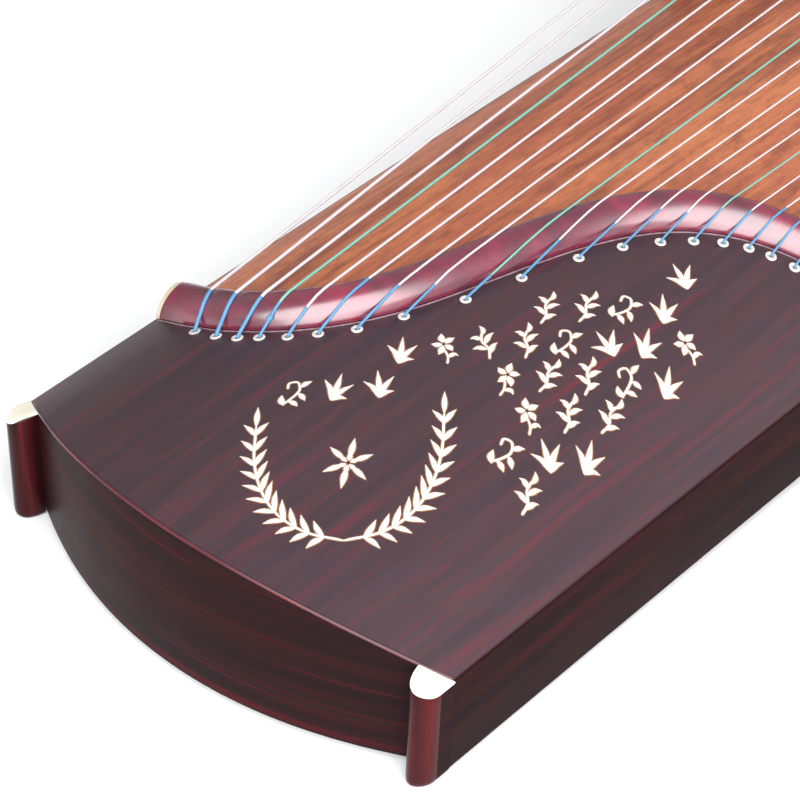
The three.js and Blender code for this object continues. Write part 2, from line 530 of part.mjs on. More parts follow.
function wire(pts, w) {
  // square section kept upright across the line
  const n = pts.length - 1, outline = [[-1, -1], [1, -1], [1, 1], [-1, 1]];
  const P = pts.map((p) => new THREE.Vector3(...p));
  return loft(outline, n, (k, d) => {
    const j = Math.round(d * n);
    const t = new THREE.Vector3();
    if (j > 0) t.add(P[j].clone().sub(P[j - 1]).normalize());
    if (j < n) t.add(P[j + 1].clone().sub(P[j]).normalize());
    t.normalize();
    const side = new THREE.Vector3(-t.y, t.x, 0);
    if (side.length() < 0.2) side.set(0, 1, 0);
    side.normalize();
    const upv = new THREE.Vector3().crossVectors(t, side).normalize();
    const q = P[j].clone().addScaledVector(side, outline[k][0] * w / 2).addScaledVector(upv, outline[k][1] * w / 2);
    return [q.x, q.y, q.z];
  });
}
{
  const yMax = 160;
  const sec = [[652.2, 1.0], [658.6, 1.0], [658.6, 9.6], [652.2, 13.2]];
  // felt damper that the strings are threaded through, behind the nut
  let set = solid(loft(sec.map(([x, h]) => [x, h]), 14, (k, d) => {
    const [x, h] = sec[k], y = lerp(-yMax, yMax - 12, d);
    return [x, y, topZ(x, y) + h];
  }));
  for (let i = STRINGS; i >= 1; i--) set = set.add(solid(wire(stringPath(i), STRING_W)));
  add('string_set', surface(set), MAT(0xe8e8e4, 0.4));
}

export default group;
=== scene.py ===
import math
import random

import bpy
import bmesh
import numpy as np
from mathutils import Matrix, Vector


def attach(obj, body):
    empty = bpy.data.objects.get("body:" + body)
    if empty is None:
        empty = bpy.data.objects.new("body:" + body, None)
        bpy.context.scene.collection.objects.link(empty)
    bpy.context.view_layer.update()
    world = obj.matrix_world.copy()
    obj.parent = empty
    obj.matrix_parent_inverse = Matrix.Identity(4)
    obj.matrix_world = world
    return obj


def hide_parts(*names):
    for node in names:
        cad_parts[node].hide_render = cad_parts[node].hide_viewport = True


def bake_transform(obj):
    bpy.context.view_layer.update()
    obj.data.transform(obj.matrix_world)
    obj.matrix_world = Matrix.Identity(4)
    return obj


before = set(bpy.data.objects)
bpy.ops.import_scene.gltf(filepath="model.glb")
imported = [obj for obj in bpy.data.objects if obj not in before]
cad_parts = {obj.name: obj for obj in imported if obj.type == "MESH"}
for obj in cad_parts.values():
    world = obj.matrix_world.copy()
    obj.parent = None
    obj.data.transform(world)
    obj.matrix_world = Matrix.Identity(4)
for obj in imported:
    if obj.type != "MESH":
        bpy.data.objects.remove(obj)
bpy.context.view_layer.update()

random.seed(21)
scene = bpy.context.scene

# ------------------------------------------------------------------ camera
YAW, PITCH, ROLL = 0.704227785, 0.688930924, -0.0401995592
CAM_AT = Vector((-1.3938526, -0.639918141, 0.887680931))
d = Vector((math.cos(PITCH) * math.cos(YAW), math.cos(PITCH) * math.sin(YAW), -math.sin(PITCH)))
right = d.cross(Vector((0, 0, 1))).normalized()
down = d.cross(right).normalized()
r2 = right * math.cos(ROLL) + down * math.sin(ROLL)
d2 = -right * math.sin(ROLL) + down * math.cos(ROLL)
cam_data = bpy.data.cameras.new("camera")
cam_data.lens, cam_data.sensor_width = 108.2554, 36.0
cam_data.clip_start, cam_data.clip_end = 0.05, 60
cam = bpy.data.objects.new("camera", cam_data)
scene.collection.objects.link(cam)
cam.matrix_world = Matrix(((r2.x, -d2.x, -d.x, CAM_AT.x), (r2.y, -d2.y, -d.y, CAM_AT.y), (r2.z, -d2.z, -d.z, CAM_AT.z), (0, 0, 0, 1)))
scene.camera = cam

# -------------------------------------------------- the frame's numbers, mm
TAIL_X, HEAD_X = -768.5, 795.7
TAIL_BULGE, HEAD_BULGE = 46.5, 15.0
ARCH, ARCH_C, ARCH_H = 11.95, 21.5, 790.0
SIDE_H, CROWN, FOOT = 61.24, 37.23, 2.0
RAIL_T, LIP, TOP_T, BACK_T, BACK_RISE, END_T = 10.0, 1.5, 8.0, 6.0, 2.5, 12.0
GAP, SEAT = 0.3, 0.5
HOLES = [[-684.2, 110.7], [-684, 94.5], [-680.5, 81.8], [-674.6, 71.2], [-666.4, 58.2],
  [-655.3, 46.4], [-639.8, 32.6], [-615.7, 20.8], [-582.8, 5.6], [-547.6, -4.4], [-512.1, -15.9],
  [-486.8, -26.9], [-467.7, -38.8], [-452.5, -50.7], [-440.3, -62.4], [-431.4, -74.1],
  [-425.7, -85.7], [-420.7, -98.8], [-418, -111.5], [-416.5, -124], [-416, -136.5]]
BRIDGE_Y = [134, 124.5, 104, 86.5, 67, 50, 30.5, 12.5, -4.5, -23, -41, -57, -71, -84,
  -95, -104.5, -113, -122, -131, -139.5, -148]
BASS_BACK, BASS_TALL = [18, 12] + [0] * 19, [7, 4] + [0] * 19
KINK = [5, 3.5, 0.5, 0.3, -0.9, -2.3, -2.9, -2.5, -0.9, 0.9, -1.8, -1.9, -1.3, -1.5,
  -2.5, -2, -1.5, -1.5, -1.5, -1.5, -1.5]
FRONT = np.array([[-160, -405.8], [-140, -405.1], [-120.5, -407.5], [-101.5, -412.5], [-83.4, -420.0],
  [-66.3, -429.7], [-50.9, -441.8], [-37.4, -456.1], [-26.4, -472.4], [-17.4, -489.8], [-10.0, -507.9],
  [-3.7, -526.6], [2.0, -545.4], [7.5, -564.2], [13.2, -583.0], [19.8, -601.5], [27.8, -619.5],
  [37.9, -636.3], [50.5, -651.3], [65.6, -663.9], [82.8, -673.3], [101.5, -679.0], [121.1, -680.0],
  [140.6, -677.6], [160, -674.0]])
RIDGE = np.array([[0, 0], [0.6, 3], [2.5, 7.5], [6, 11.8], [10.5, 14.7], [15, 16.2], [18.5, 16],
  [21.5, 13.8], [23.4, 10], [24, 4.5]])
ridge_scale = lambda y: np.interp(y, [-160, -100, -50, -20, 160], [0.72, 0.815, 0.915, 0.955, 0.975])
NUT_PITCH, NUT_SHIFT, NUT_H, HOLE_X = 14.2, -8.0, 20.0, 664.0
PIN_ROWS = [702, 727, 752]
PIN_FLOOR, PIN_UP, PIN_DOWN = 40.0, 25.0, 17.0
HEAD_IN_X, BOARD_END_X, LID_X0, LID_X1 = 787.5, 634.0, 678.0, 785.5
WALL_X0, WALL_X1, STRIP_X1 = 637.0, 650.0, 677.0

half_w = lambda x: 150 + 0.0178 * (x - TAIL_X)
side_bottom = lambda x: FOOT + ARCH * (1 - ((x - ARCH_C) / ARCH_H) ** 2)
HEAD_HALF = half_w(HEAD_X)


def top_z(x, y):
    h = half_w(x)
    u = np.minimum(np.abs(y / h), 1)
    return side_bottom(x) + SIDE_H + CROWN * h / 150 * (1 - u ** 2.15)


back_z = lambda x: side_bottom(x) + BACK_RISE
tail_x = lambda y: TAIL_X - TAIL_BULGE * (1 - np.minimum(np.abs(y) / 150, 1) ** 2.03)
head_x = lambda y: HEAD_X + HEAD_BULGE * (1 - np.minimum(np.abs(y) / HEAD_HALF, 1) ** 2)
y_end = lambda x: half_w(x) - RAIL_T - GAP
string_y = lambda i: (i - 11) * NUT_PITCH + NUT_SHIFT
floor_z = lambda x, y: top_z(x, y) - PIN_FLOOR


def _slopes():
    h, dd = np.diff(FRONT[:, 0]), np.diff(FRONT[:, 1]) / np.diff(FRONT[:, 0])
    n, m = len(FRONT), np.zeros(len(FRONT))
    for i in range(1, n - 1):
        if dd[i - 1] * dd[i] > 0:
            w1, w2 = 2 * h[i] + h[i - 1], h[i] + 2 * h[i - 1]
            m[i] = (w1 + w2) / (w1 / dd[i - 1] + w2 / dd[i])
    m[0], m[-1] = dd[0], dd[-1]
    return m


SLOPES = _slopes()


def front_x(y):
    y = np.asarray(y, float)
    i = np.clip(np.searchsorted(FRONT[:, 0], y, side="right") - 1, 0, len(FRONT) - 2)
    y0, x0, y1, x1 = FRONT[i, 0], FRONT[i, 1], FRONT[i + 1, 0], FRONT[i + 1, 1]
    h = y1 - y0
    t = (y - y0) / h
    return (x0 * (1 + 2 * t) * (1 - t) ** 2 + SLOPES[i] * h * t * (1 - t) ** 2
            + x1 * t * t * (3 - 2 * t) + SLOPES[i + 1] * h * t * t * (t - 1))


FY = np.linspace(-160, 160, 1201)
FX = front_x(FY)
_a, _b = np.maximum(np.arange(1201) - 4, 0), np.minimum(np.arange(1201) + 4, 1200)
_t = np.stack([FX[_b] - FX[_a], FY[_b] - FY[_a]], 1)
_t /= np.linalg.norm(_t, axis=1)[:, None]
FN = np.stack([_t[:, 1], -_t[:, 0]], 1)
seam_x = lambda y: front_x(np.clip(y, -160, 160)) + 3


def ridge_height(x, y):
    k = int(np.argmin((FX - x) ** 2 + (FY - y) ** 2))
    c = float(ridge_scale(FY[k]))
    s = ((x - FX[k]) * FN[k, 0] + (y - FY[k]) * FN[k, 1]) / c
    return 0.0 if s < 0 or s > 24 else c * float(np.interp(s, RIDGE[:, 0], RIDGE[:, 1]))


# ------------------------------------------------------------ mesh helpers
def link(name, me):
    o = bpy.data.objects.new(name, me)
    scene.collection.objects.link(o)
    return o


def tidy(me, angle=40):
    bm = bmesh.new()
    bm.from_mesh(me)
    bmesh.ops.remove_doubles(bm, verts=bm.verts, dist=1e-7)
    bmesh.ops.recalc_face_normals(bm, faces=bm.faces)
    bm.to_mesh(me)
    bm.free()
    me.shade_smooth()
    me.set_sharp_from_angle(angle=math.radians(angle))


def build(name, V, F, mat=None, angle=40):
    me = bpy.data.meshes.new(name)
    me.from_pydata([(float(x) * 0.001, float(y) * 0.001, float(z) * 0.001) for x, y, z in V], [], [tuple(int(k) for k in f) for f in F])
    tidy(me, angle)
    if mat is not None:
        me.materials.append(mat)
    return link(name, me)


def rings(R, cap=True, base=0):
    """Faces of stations (M, N, 3) joined in closed loops."""
    M, N = R.shape[:2]
    F = [(base + i * N + j, base + i * N + (j + 1) % N, base + (i + 1) * N + (j + 1) % N, base + (i + 1) * N + j)
         for i in range(M - 1) for j in range(N)]
    if cap:
        F.append(tuple(base + j for j in range(N))[::-1])
        F.append(tuple(base + (M - 1) * N + j for j in range(N)))
    return F


def ring_piece(name, R, mat=None, angle=40):
    R = np.asarray(R, float)
    return build(name, R.reshape(-1, 3), rings(R), mat, angle)


def many(name, parts, mat=None, angle=40):
    """Several ring lofts in one piece."""
    V, F, base = [], [], 0
    for R in parts:
        R = np.asarray(R, float)
        V.append(R.reshape(-1, 3))
        F += rings(R, True, base)
        base += R.shape[0] * R.shape[1]
    return build(name, np.concatenate(V), F, mat, angle)


def lathe(profile, n, cx, cy, cz):
    """Closed ring loft round a vertical axis: profile goes (r, z) along the loop of the section."""
    P = np.asarray(profile, float)
    out = []
    for k in range(n):
        a = 2 * math.pi * k / n
        out.append([(cx + r * math.cos(a), cy + r * math.sin(a), cz + z) for r, z in P])
    return np.array(out)


def torus_like(name, sections, mat, angle=40):
    """Lathe bodies whose section is a closed loop: stations joined round."""
    V, F, base = [], [], 0
    for R in sections:
        M, N = R.shape[:2]
        V.append(R.reshape(-1, 3))
        F += [(base + i * N + j, base + i * N + (j + 1) % N, base + ((i + 1) % M) * N + (j + 1) % N, base + ((i + 1) % M) * N + j)
              for i in range(M) for j in range(N)]
        base += M * N
    return build(name, np.concatenate(V), F, mat, angle)


def applied(o):
    dg = bpy.context.evaluated_depsgraph_get()
    me = bpy.data.meshes.new_from_object(o.evaluated_get(dg))
    old = o.data
    o.modifiers.clear()
    o.data = me
    bpy.data.meshes.remove(old)
    me.name = o.name
    return o


def bevel(o, width, segments=2, angle=35, sharp=40):
    m = o.modifiers.new("bevel", "BEVEL")
    m.width, m.segments, m.limit_method, m.angle_limit = width * 0.001, segments, "ANGLE", math.radians(angle)
    m.use_clamp_overlap = True
    applied(o)
    o.data.shade_smooth()
    o.data.set_sharp_from_angle(angle=math.radians(sharp))
    return o


def cut(o, cutter, mode="DIFFERENCE"):
    m = o.modifiers.new("cut", "BOOLEAN")
    m.operation, m.solver, m.object = mode, "EXACT", cutter
    bpy.context.view_layer.update()
    applied(o)
    bpy.data.objects.remove(cutter)
    return o


def cylinders(items, n=28):
    """One cutter from upright cylinders (x, y, z0, z1, r)."""
    parts = []
    for x, y, z0, z1, r in items:
        c = [(x + r * math.cos(2 * math.pi * k / n), y + r * math.sin(2 * math.pi * k / n)) for k in range(n)]
        parts.append([[(*p, z0) for p in c], [(*p, z1) for p in c]])
    return many("cutter", parts)


def block(x0, x1, y0, y1, z0, z1):
    c = [(x0, y0), (x1, y0), (x1, y1), (x0, y1)]
    return many("cutter", [[[(*p, z0) for p in c], [(*p, z1) for p in c]]])


def spline(P, per=6, closed=False):
    """Centripetal-like Catmull-Rom through the points."""
    P = np.asarray(P, float)
    n = len(P)
    Q = np.vstack([P[-1], P, P[0], P[1]]) if closed else np.vstack([2 * P[0] - P[1], P, 2 * P[-1] - P[-2]])
    out = []
    for i in range(n if closed else n - 1):
        p0, p1, p2, p3 = Q[i], Q[i + 1], Q[i + 2], Q[i + 3]
        l1, l2, l3 = (max(np.linalg.norm(b - a), 1e-6) ** 0.5 for a, b in ((p0, p1), (p1, p2), (p2, p3)))
        m1 = (p2 - p1) - (p2 - p0) * l2 / (l1 + l2) * 1.0 + (p1 - p0) * l2 / l1 * 1.0
        m2 = (p2 - p1) - (p3 - p1) * l2 / (l2 + l3) * 1.0 + (p3 - p2) * l2 / l3 * 1.0
        for k in range(per):
            t = k / per
            out.append((2 * t ** 3 - 3 * t ** 2 + 1) * p1 + (t ** 3 - 2 * t ** 2 + t) * m1
                       + (-2 * t ** 3 + 3 * t ** 2) * p2 + (t ** 3 - t ** 2) * m2)
    if not closed:
        out.append(P[-1])
    return np.array(out)


def tube(path, radius, sides=10, twist=None):
    """Rings of a round tube along a path; radius a number or one per point."""
    P = np.asarray(path, float)
    n = len(P)
    r = np.broadcast_to(np.asarray(radius, float), (n,))
    T = np.gradient(P, axis=0)
    T /= np.linalg.norm(T, axis=1)[:, None]
    up = np.array([0, 0, 1.0]) if abs(T[0][2]) < 0.9 else np.array([1.0, 0, 0])
    u = np.cross(T[0], up)
    u /= np.linalg.norm(u)
    out = []
    for k in range(n):
        u = u - T[k] * (u @ T[k])
        u /= np.linalg.norm(u)
        v = np.cross(T[k], u)
        ring = []
        for j in range(sides):
            a = 2 * math.pi * j / sides
            rr = r[k] if twist is None else r[k] + twist(k, a)
            ring.append(P[k] + rr * (math.cos(a) * u + math.sin(a) * v))
        out.append(ring)
    return np.array(out)


def put(o, body, slot=None, *nodes):
    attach(o, body)
    if nodes:
        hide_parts(*nodes)
    return o


# --------------------------------------------------------------- materials
def srgb(*c):
    return tuple((v / 255 / 12.92 if v / 255 <= 0.04045 else ((v / 255 + 0.055) / 1.055) ** 2.4) for v in c) + (1,)


class Mat:
    def __init__(s, name, **sockets):
        s.m = bpy.data.materials.new(name)
        s.m.use_nodes = True
        s.t = s.m.node_tree
        s.t.nodes.clear()
        out = s.t.nodes.new("ShaderNodeOutputMaterial")
        s.b = s.t.nodes.new("ShaderNodeBsdfPrincipled")
        s.t.links.new(s.b.outputs[0], out.inputs[0])
        for k, v in sockets.items():
            s.b.inputs[k.replace("_", " ")].default_value = v
        s.obj = s.t.nodes.new("ShaderNodeTexCoord").outputs["Object"]

    def n(s, kind, inputs=None, **props):
        x = s.t.nodes.new("ShaderNode" + kind)
        for k, v in props.items():
            setattr(x, k, v)
        for k, v in (inputs or {}).items():
            if isinstance(v, bpy.types.NodeSocket):
                s.t.links.new(v, x.inputs[k])
            else:
                x.inputs[k].default_value = v
        return x

    def at(s, scale=(1, 1, 1), rot=(0, 0, 0), loc=(0, 0, 0), vec=None):
        return s.n("Mapping", {"Vector": vec or s.obj, "Scale": scale, "Rotation": rot, "Location": loc}).outputs[0]

    def noise(s, vec, scale, detail=3.0, rough=0.5, dist=0.0):
        return s.n("TexNoise", {"Vector": vec, "Scale": scale, "Detail": detail, "Roughness": rough, "Distortion": dist}).outputs["Fac"]

    def ramp(s, fac, *stops, ease="LINEAR"):
        r = s.n("ValToRGB", {"Fac": fac})
        r.color_ramp.interpolation = ease
        e = r.color_ramp.elements
        while len(e) < len(stops):
            e.new(0.5)
        for k, (p, c) in enumerate(stops):
            e[k].position = p
            e[k].color = c if isinstance(c, tuple) else (c, c, c, 1)
        return r.outputs[0]

    def math(s, op, a, b=0.0, clamp=False):
        x = s.n("Math", {0: a, 1: b}, operation=op, use_clamp=clamp)
        return x.outputs[0]

    def mix(s, fac, a, b, mode="MIX"):
        x = s.n("Mix", data_type="RGBA", blend_type=mode)
        for k, v in ((0, fac), (6, a), (7, b)):
            if isinstance(v, bpy.types.NodeSocket):
                s.t.links.new(v, x.inputs[k])
            else:
                x.inputs[k].default_value = v
        return x.outputs[2]

    def color(s, sock):
        s.t.links.new(sock, s.b.inputs["Base Color"])
        return s

    def rough(s, sock):
        s.t.links.new(sock, s.b.inputs["Roughness"])
        return s

    def bump(s, height, strength=0.2, distance=0.0005):
        x = s.n("Bump", {"Height": height, "Strength": strength, "Distance": distance})
        s.t.links.new(x.outputs[0], s.b.inputs["Normal"])
        return s


AX = {"x": (1, 0, 0), "y": (0, 1, 0), "z": (0, 0, 1)}


def streaked(name, axis, base, dark, red, amount=0.6, rough=0.32, coat=0.0, seed=0.0, bump=0.12, wide=1.0, coat_rough=0.15, ior=1.5, run=3.0, thin_part=0.5):
    """Lacquered rosewood: long thin streaks along one axis, broad soft figure behind them."""
    m = Mat(name, Coat_Weight=coat, Coat_Roughness=coat_rough, IOR=ior)
    across = 100.0 / wide
    sc = tuple(run if k in axis else across for k in "xyz")
    sc2 = tuple(0.8 if k in axis else 17.0 / wide for k in "xyz")
    sc3 = tuple(9.0 if k in axis else 420.0 for k in "xyz")
    sc4 = tuple(run * 0.7 if k in axis else across * 0.42 for k in "xyz")
    wob = m.n("TexNoise", {"Vector": m.at((2.2, 2.2, 2.2), loc=(seed, seed, 0)), "Scale": 2.0, "Detail": 2.0}).outputs["Color"]
    small = m.n("VectorMath", {0: wob, 1: (0.012, 0.012, 0.012)}, operation="MULTIPLY").outputs[0]
    pos = m.n("VectorMath", {0: m.obj, 1: small}, operation="ADD").outputs[0]
    fine = m.noise(m.at(sc, loc=(seed, 2 * seed, 3.1 * seed), vec=pos), 4.0, 3.0, 0.6)
    mid = m.noise(m.at(sc4, loc=(5 + seed, seed, 2 + seed), vec=pos), 4.0, 3.0, 0.6)
    broad = m.noise(m.at(sc2, loc=(3 + seed, seed, 1.7), vec=pos), 4.0, 3.0, 0.55)
    pores = m.noise(m.at(sc3, loc=(seed, 5, 7), vec=pos), 6.0, 2.0, 0.5)
    thin = m.math("MULTIPLY", m.ramp(fine, (0.54, 0.0), (0.68, thin_part)), m.ramp(broad, (0.36, 0.25), (0.58, 1.0)))
    soft = m.math("MULTIPLY", m.ramp(mid, (0.50, 0.0), (0.74, 0.85)), m.ramp(broad, (0.40, 0.1), (0.60, 1.0)))
    mask = m.math("MULTIPLY", m.math("MAXIMUM", thin, soft), amount)
    ground = m.mix(m.ramp(broad, (0.36, 0.0), (0.62, 1.0)), dark, base)
    ground = m.mix(m.ramp(mid, (0.30, 0.6), (0.46, 0.0)), ground, dark)
    col = m.mix(mask, ground, red)
    col = m.mix(m.ramp(pores, (0.60, 0.0), (0.74, 0.3)), col, tuple(c * 0.4 for c in dark[:3]) + (1,))
    m.color(col)
    m.rough(m.math("ADD", m.math("MULTIPLY", m.noise(m.at((1, 1, 1)), 38.0, 3.0), 0.09), rough - 0.045))
    m.bump(m.math("ADD", m.math("MULTIPLY", pores, 0.5), fine), bump, 0.0002)
    return m.m


panel_wood = streaked("panel_lacquer", "x", srgb(55, 37, 44), srgb(46, 32, 38), srgb(92, 24, 36), 0.85, 0.42, 0.06, 1.3, 0.06, 0.75, run=1.4, thin_part=0.5)
side_wood = streaked("side_lacquer", "x", srgb(32, 18, 19), srgb(24, 15, 16), srgb(66, 12, 17), 0.8, 0.42, 0.0, 4.1, 0.06, 0.6, ior=1.07, run=1.2, thin_part=0.7)
end_wood = streaked("end_lacquer", "xy", srgb(34, 18, 19), srgb(25, 15, 16), srgb(74, 12, 18), 0.85, 0.40, 0.0, 7.7, 0.06, 0.6, ior=1.10, run=1.1, thin_part=0.75)
# lighter red for the rounded top edges of the tail end: partly the red wood of the edge, partly a painted highlight
edge_red_and_painted_highlight = streaked("edge_lacquer_red_and_painted_highlight", "xy", srgb(78, 18, 27), srgb(50, 15, 20), srgb(112, 20, 32), 0.8, 0.28, 0.3, 3.3, 0.03, 1.0, ior=1.35, run=1.5)
post_wood = streaked("post_lacquer", "z", srgb(62, 12, 15), srgb(38, 10, 12), srgb(84, 12, 18), 0.8, 0.30, 0.05, 2.2, 0.05, 0.7, ior=1.18)
# painted shade: a darker copy of the post lacquer for the far tail post, standing in for the light falling off towards
# the far side
post_wood_painted_shade = streaked("post_lacquer_painted_shade", "z", srgb(50, 10, 13), srgb(27, 8, 10), srgb(86, 13, 20), 0.8, 0.30, 0.05, 6.9, 0.05, 0.6, ior=1.18)
ridge_wood = streaked("bridge_lacquer", "y", srgb(102, 20, 46), srgb(68, 16, 34), srgb(134, 19, 44), 0.7, 0.28, 1.0, 5.0, 0.02, 1.6, 0.28, ior=1.72)
# painted shade: a darker copy of the bridge lacquer, without coat, for the rear slope of the rear bridge, which lies in
# shade
ridge_back_painted_shade = streaked("bridge_lacquer_back_painted_shade", "y", srgb(74, 18, 34), srgb(50, 14, 26), srgb(96, 18, 36), 0.6, 0.4, 0.0, 5.0, 0.03, 1.6, ior=1.15)
head_wood = streaked("head_lacquer", "x", srgb(58, 38, 44), srgb(44, 30, 35), srgb(92, 24, 34), 0.7, 0.38, 0.1, 9.4, 0.10, 1.2)
box_wood = streaked("box_lining", "y", srgb(98, 66, 46), srgb(74, 48, 34), srgb(108, 64, 42), 0.5, 0.55, 0.0, 3.4, 0.2, 1.6)
bridge_dark = streaked("movable_bridge_wood", "z", srgb(88, 44, 33), srgb(58, 29, 24), srgb(112, 54, 38), 0.6, 0.34, 0.2, 6.2, 0.12, 0.5)


def board_material():
    """Scorched and oiled paulownia: orange-brown with golden patches, dark soft bands and short pores along the grain."""
    m = Mat("soundboard_paulownia", Coat_Weight=0.12, Coat_Roughness=0.2, IOR=1.48)
    wob = m.n("TexNoise", {"Vector": m.at((1.5, 5.0, 5.0)), "Scale": 2.4, "Detail": 3.0}).outputs["Color"]
    small = m.n("VectorMath", {0: wob, 1: (0.03, 0.022, 0.0)}, operation="MULTIPLY").outputs[0]
    pos = m.n("VectorMath", {0: m.obj, 1: small}, operation="ADD").outputs[0]
    bands = m.noise(m.at((0.55, 13.0, 2.0), rot=(0, 0, 0.035), vec=pos), 4.0, 3.0, 0.55)
    fine = m.noise(m.at((2.2, 75.0, 8.0), rot=(0, 0, 0.035), vec=pos), 4.0, 4.0, 0.6)
    patch = m.noise(m.at((2.0, 5.5, 1.0), loc=(0.7, 0.2, 0), vec=pos), 3.0, 3.0, 0.55)
    pores = m.noise(m.at((34.0, 640.0, 40.0), rot=(0, 0, 0.035)), 3.0, 2.0, 0.5)
    fleck = m.noise(m.at((120.0, 420.0, 100.0)), 4.0, 2.0, 0.6)
    mottle = m.noise(m.at((14.0, 34.0, 10.0), loc=(2.1, 0.4, 0), vec=pos), 4.0, 4.0, 0.65)
    grit = m.noise(m.at((220.0, 300.0, 220.0)), 5.0, 2.0, 0.6)
    base = m.mix(m.ramp(patch, (0.40, 0.0), (0.64, 1.0)), srgb(164, 90, 64), srgb(182, 108, 70))
    col = m.mix(m.ramp(bands, (0.50, 0.0), (0.66, 0.8)), base, srgb(124, 62, 44))
    col = m.mix(m.ramp(mottle, (0.50, 0.0), (0.66, 0.5)), col, srgb(102, 54, 42))
    col = m.mix(m.ramp(mottle, (0.30, 0.35), (0.44, 0.0)), col, srgb(198, 124, 78))
    col = m.mix(m.ramp(fine, (0.52, 0.0), (0.70, 0.62)), col, srgb(102, 52, 38))
    col = m.mix(m.ramp(fine, (0.28, 0.4), (0.42, 0.0)), col, srgb(204, 132, 86))
    col = m.mix(m.ramp(pores, (0.58, 0.0), (0.68, 0.5)), col, srgb(78, 42, 34))
    col = m.mix(m.ramp(fleck, (0.60, 0.0), (0.75, 0.25)), col, srgb(172, 112, 80))
    col = m.mix(m.ramp(grit, (0.35, 0.28), (0.5, 0.0)), col, srgb(84, 48, 42))
    # painted light: the colour is made lighter towards the plate's far edge and darker towards its near edge, for how
    # the light falls across it
    across = m.n("MapRange", {0: m.n("SeparateXYZ", {0: m.obj}).outputs["Y"], 1: -0.12, 2: 0.14, 3: 0.85, 4: 1.17}).outputs[0]
    col = m.mix(1.0, col, across, mode="MULTIPLY")
    m.color(col)
    m.rough(m.math("ADD", m.math("MULTIPLY", fine, 0.14), 0.38))
    m.bump(m.math("SUBTRACT", fine, m.math("MULTIPLY", pores, 0.8)), 0.22, 0.0003)
    return m.m


def plain_wood(name, light, mid, dark, rough=0.6):
    m = Mat(name, IOR=1.45)
    pos = m.n("VectorMath", {0: m.obj, 1: m.n("VectorMath", {0: m.n("TexNoise", {"Vector": m.at((1.2, 4.0, 4.0)), "Scale": 2.0, "Detail": 2.0}).outputs["Color"],
                                                            1: (0.02, 0.03, 0.02)}, operation="MULTIPLY").outputs[0]}, operation="ADD").outputs[0]
    rings_ = m.n("TexWave", {"Vector": m.at((0.35, 9.0, 9.0), vec=pos), "Scale": 3.2, "Distortion": 3.0, "Detail": 3.0, "Detail Scale": 1.4}, bands_direction="Y").outputs["Fac"]
    fine = m.noise(m.at((6.0, 210.0, 210.0)), 3.0, 3.0)
    col = m.mix(m.ramp(rings_, (0.25, 0.0), (0.9, 1.0)), light, mid)
    col = m.mix(m.ramp(fine, (0.48, 0.0), (0.72, 0.6)), col, dark)
    m.color(col)
    m.rough(m.math("ADD", m.math("MULTIPLY", fine, 0.15), rough - 0.07))
    m.bump(m.math("ADD", rings_, fine), 0.25, 0.0003)
    return m.m


board_wood = board_material()
back_wood = plain_wood("back_paulownia", srgb(158, 124, 84), srgb(132, 96, 60), srgb(92, 63, 38), 0.55)
brace_wood = plain_wood("brace_spruce", srgb(180, 152, 108), srgb(158, 126, 84), srgb(124, 92, 58), 0.7)


def bone_material(name, light, shade, rough=0.38):
    m = Mat(name, IOR=1.54, Subsurface_Weight=0.12, Subsurface_Scale=0.002)
    m.b.inputs["Subsurface Radius"].default_value = (1.0, 0.7, 0.4)
    cloud = m.noise(m.at((1, 1, 1)), 55.0, 3.0, 0.6)
    grain = m.noise(m.at((260.0, 900.0, 300.0)), 2.0, 2.0)
    col = m.mix(m.ramp(cloud, (0.42, 0.0), (0.62, 0.5)), light, shade)
    col = m.mix(m.ramp(grain, (0.58, 0.0), (0.75, 0.2)), col, shade)
    m.color(col)
    m.rough(m.math("ADD", m.math("MULTIPLY", cloud, 0.16), rough - 0.08))
    m.bump(grain, 0.08, 0.0001)
    return m.m


bone = bone_material("bone_caps", srgb(196, 184, 160), srgb(176, 158, 128))
cap_bone = bone_material("post_caps", srgb(228, 220, 202), srgb(214, 198, 172), 0.3)
shell = bone_material("shell_inlay", srgb(208, 204, 198), srgb(190, 183, 174), 0.3)
bushing = bone_material("bushing_white", srgb(188, 182, 176), srgb(166, 156, 146), 0.26)


def metal(name, tint, rough, wear):
    m = Mat(name, Metallic=1.0, IOR=1.5)
    sm = m.noise(m.at((1, 1, 1)), 70.0, 3.0, 0.6)
    brushed = m.noise(m.at((260, 260, 2600)), 1.2, 2.0)
    m.color(m.mix(m.ramp(sm, (0.45, 0.0), (0.7, 0.5)), tint, wear))
    m.rough(m.math("ADD", m.math("MULTIPLY", sm, 0.18), rough - 0.06))
    m.bump(brushed, 0.06, 0.0001)
    return m.m


steel = metal("pin_nickel", (0.72, 0.72, 0.74, 1), 0.22, (0.52, 0.5, 0.48, 1))
brass = metal("brass", (0.83, 0.62, 0.28, 1), 0.26, (0.6, 0.42, 0.18, 1))


def cord_material(name, body, shade, pitch, rough=0.35, bump=0.35, coat=0.1):
    """Nylon-wound string: fine turns along X, with painted shade darkening the grooves between the turns."""
    m = Mat(name, Coat_Weight=coat, Coat_Roughness=0.2, IOR=1.5)
    turns = m.n("TexWave", {"Vector": m.at((1, 0.15, 0.6)), "Scale": 0.314 / pitch, "Distortion": 0.0}, bands_direction="X", wave_profile="SIN").outputs["Fac"]
    dirt = m.noise(m.at((1, 1, 1)), 220.0, 3.0)
    # painted shade in the grooves between the turns, where the bump below sinks the surface
    col = m.mix(m.ramp(turns, (0.0, 0.35), (0.45, 0.0)), body, shade)
    col = m.mix(m.ramp(dirt, (0.5, 0.0), (0.75, 0.25)), col, shade)
    m.color(col)
    m.rough(m.math("ADD", m.math("MULTIPLY", dirt, 0.2), rough - 0.1))
    m.bump(turns, bump, 0.0001)
    return m.m


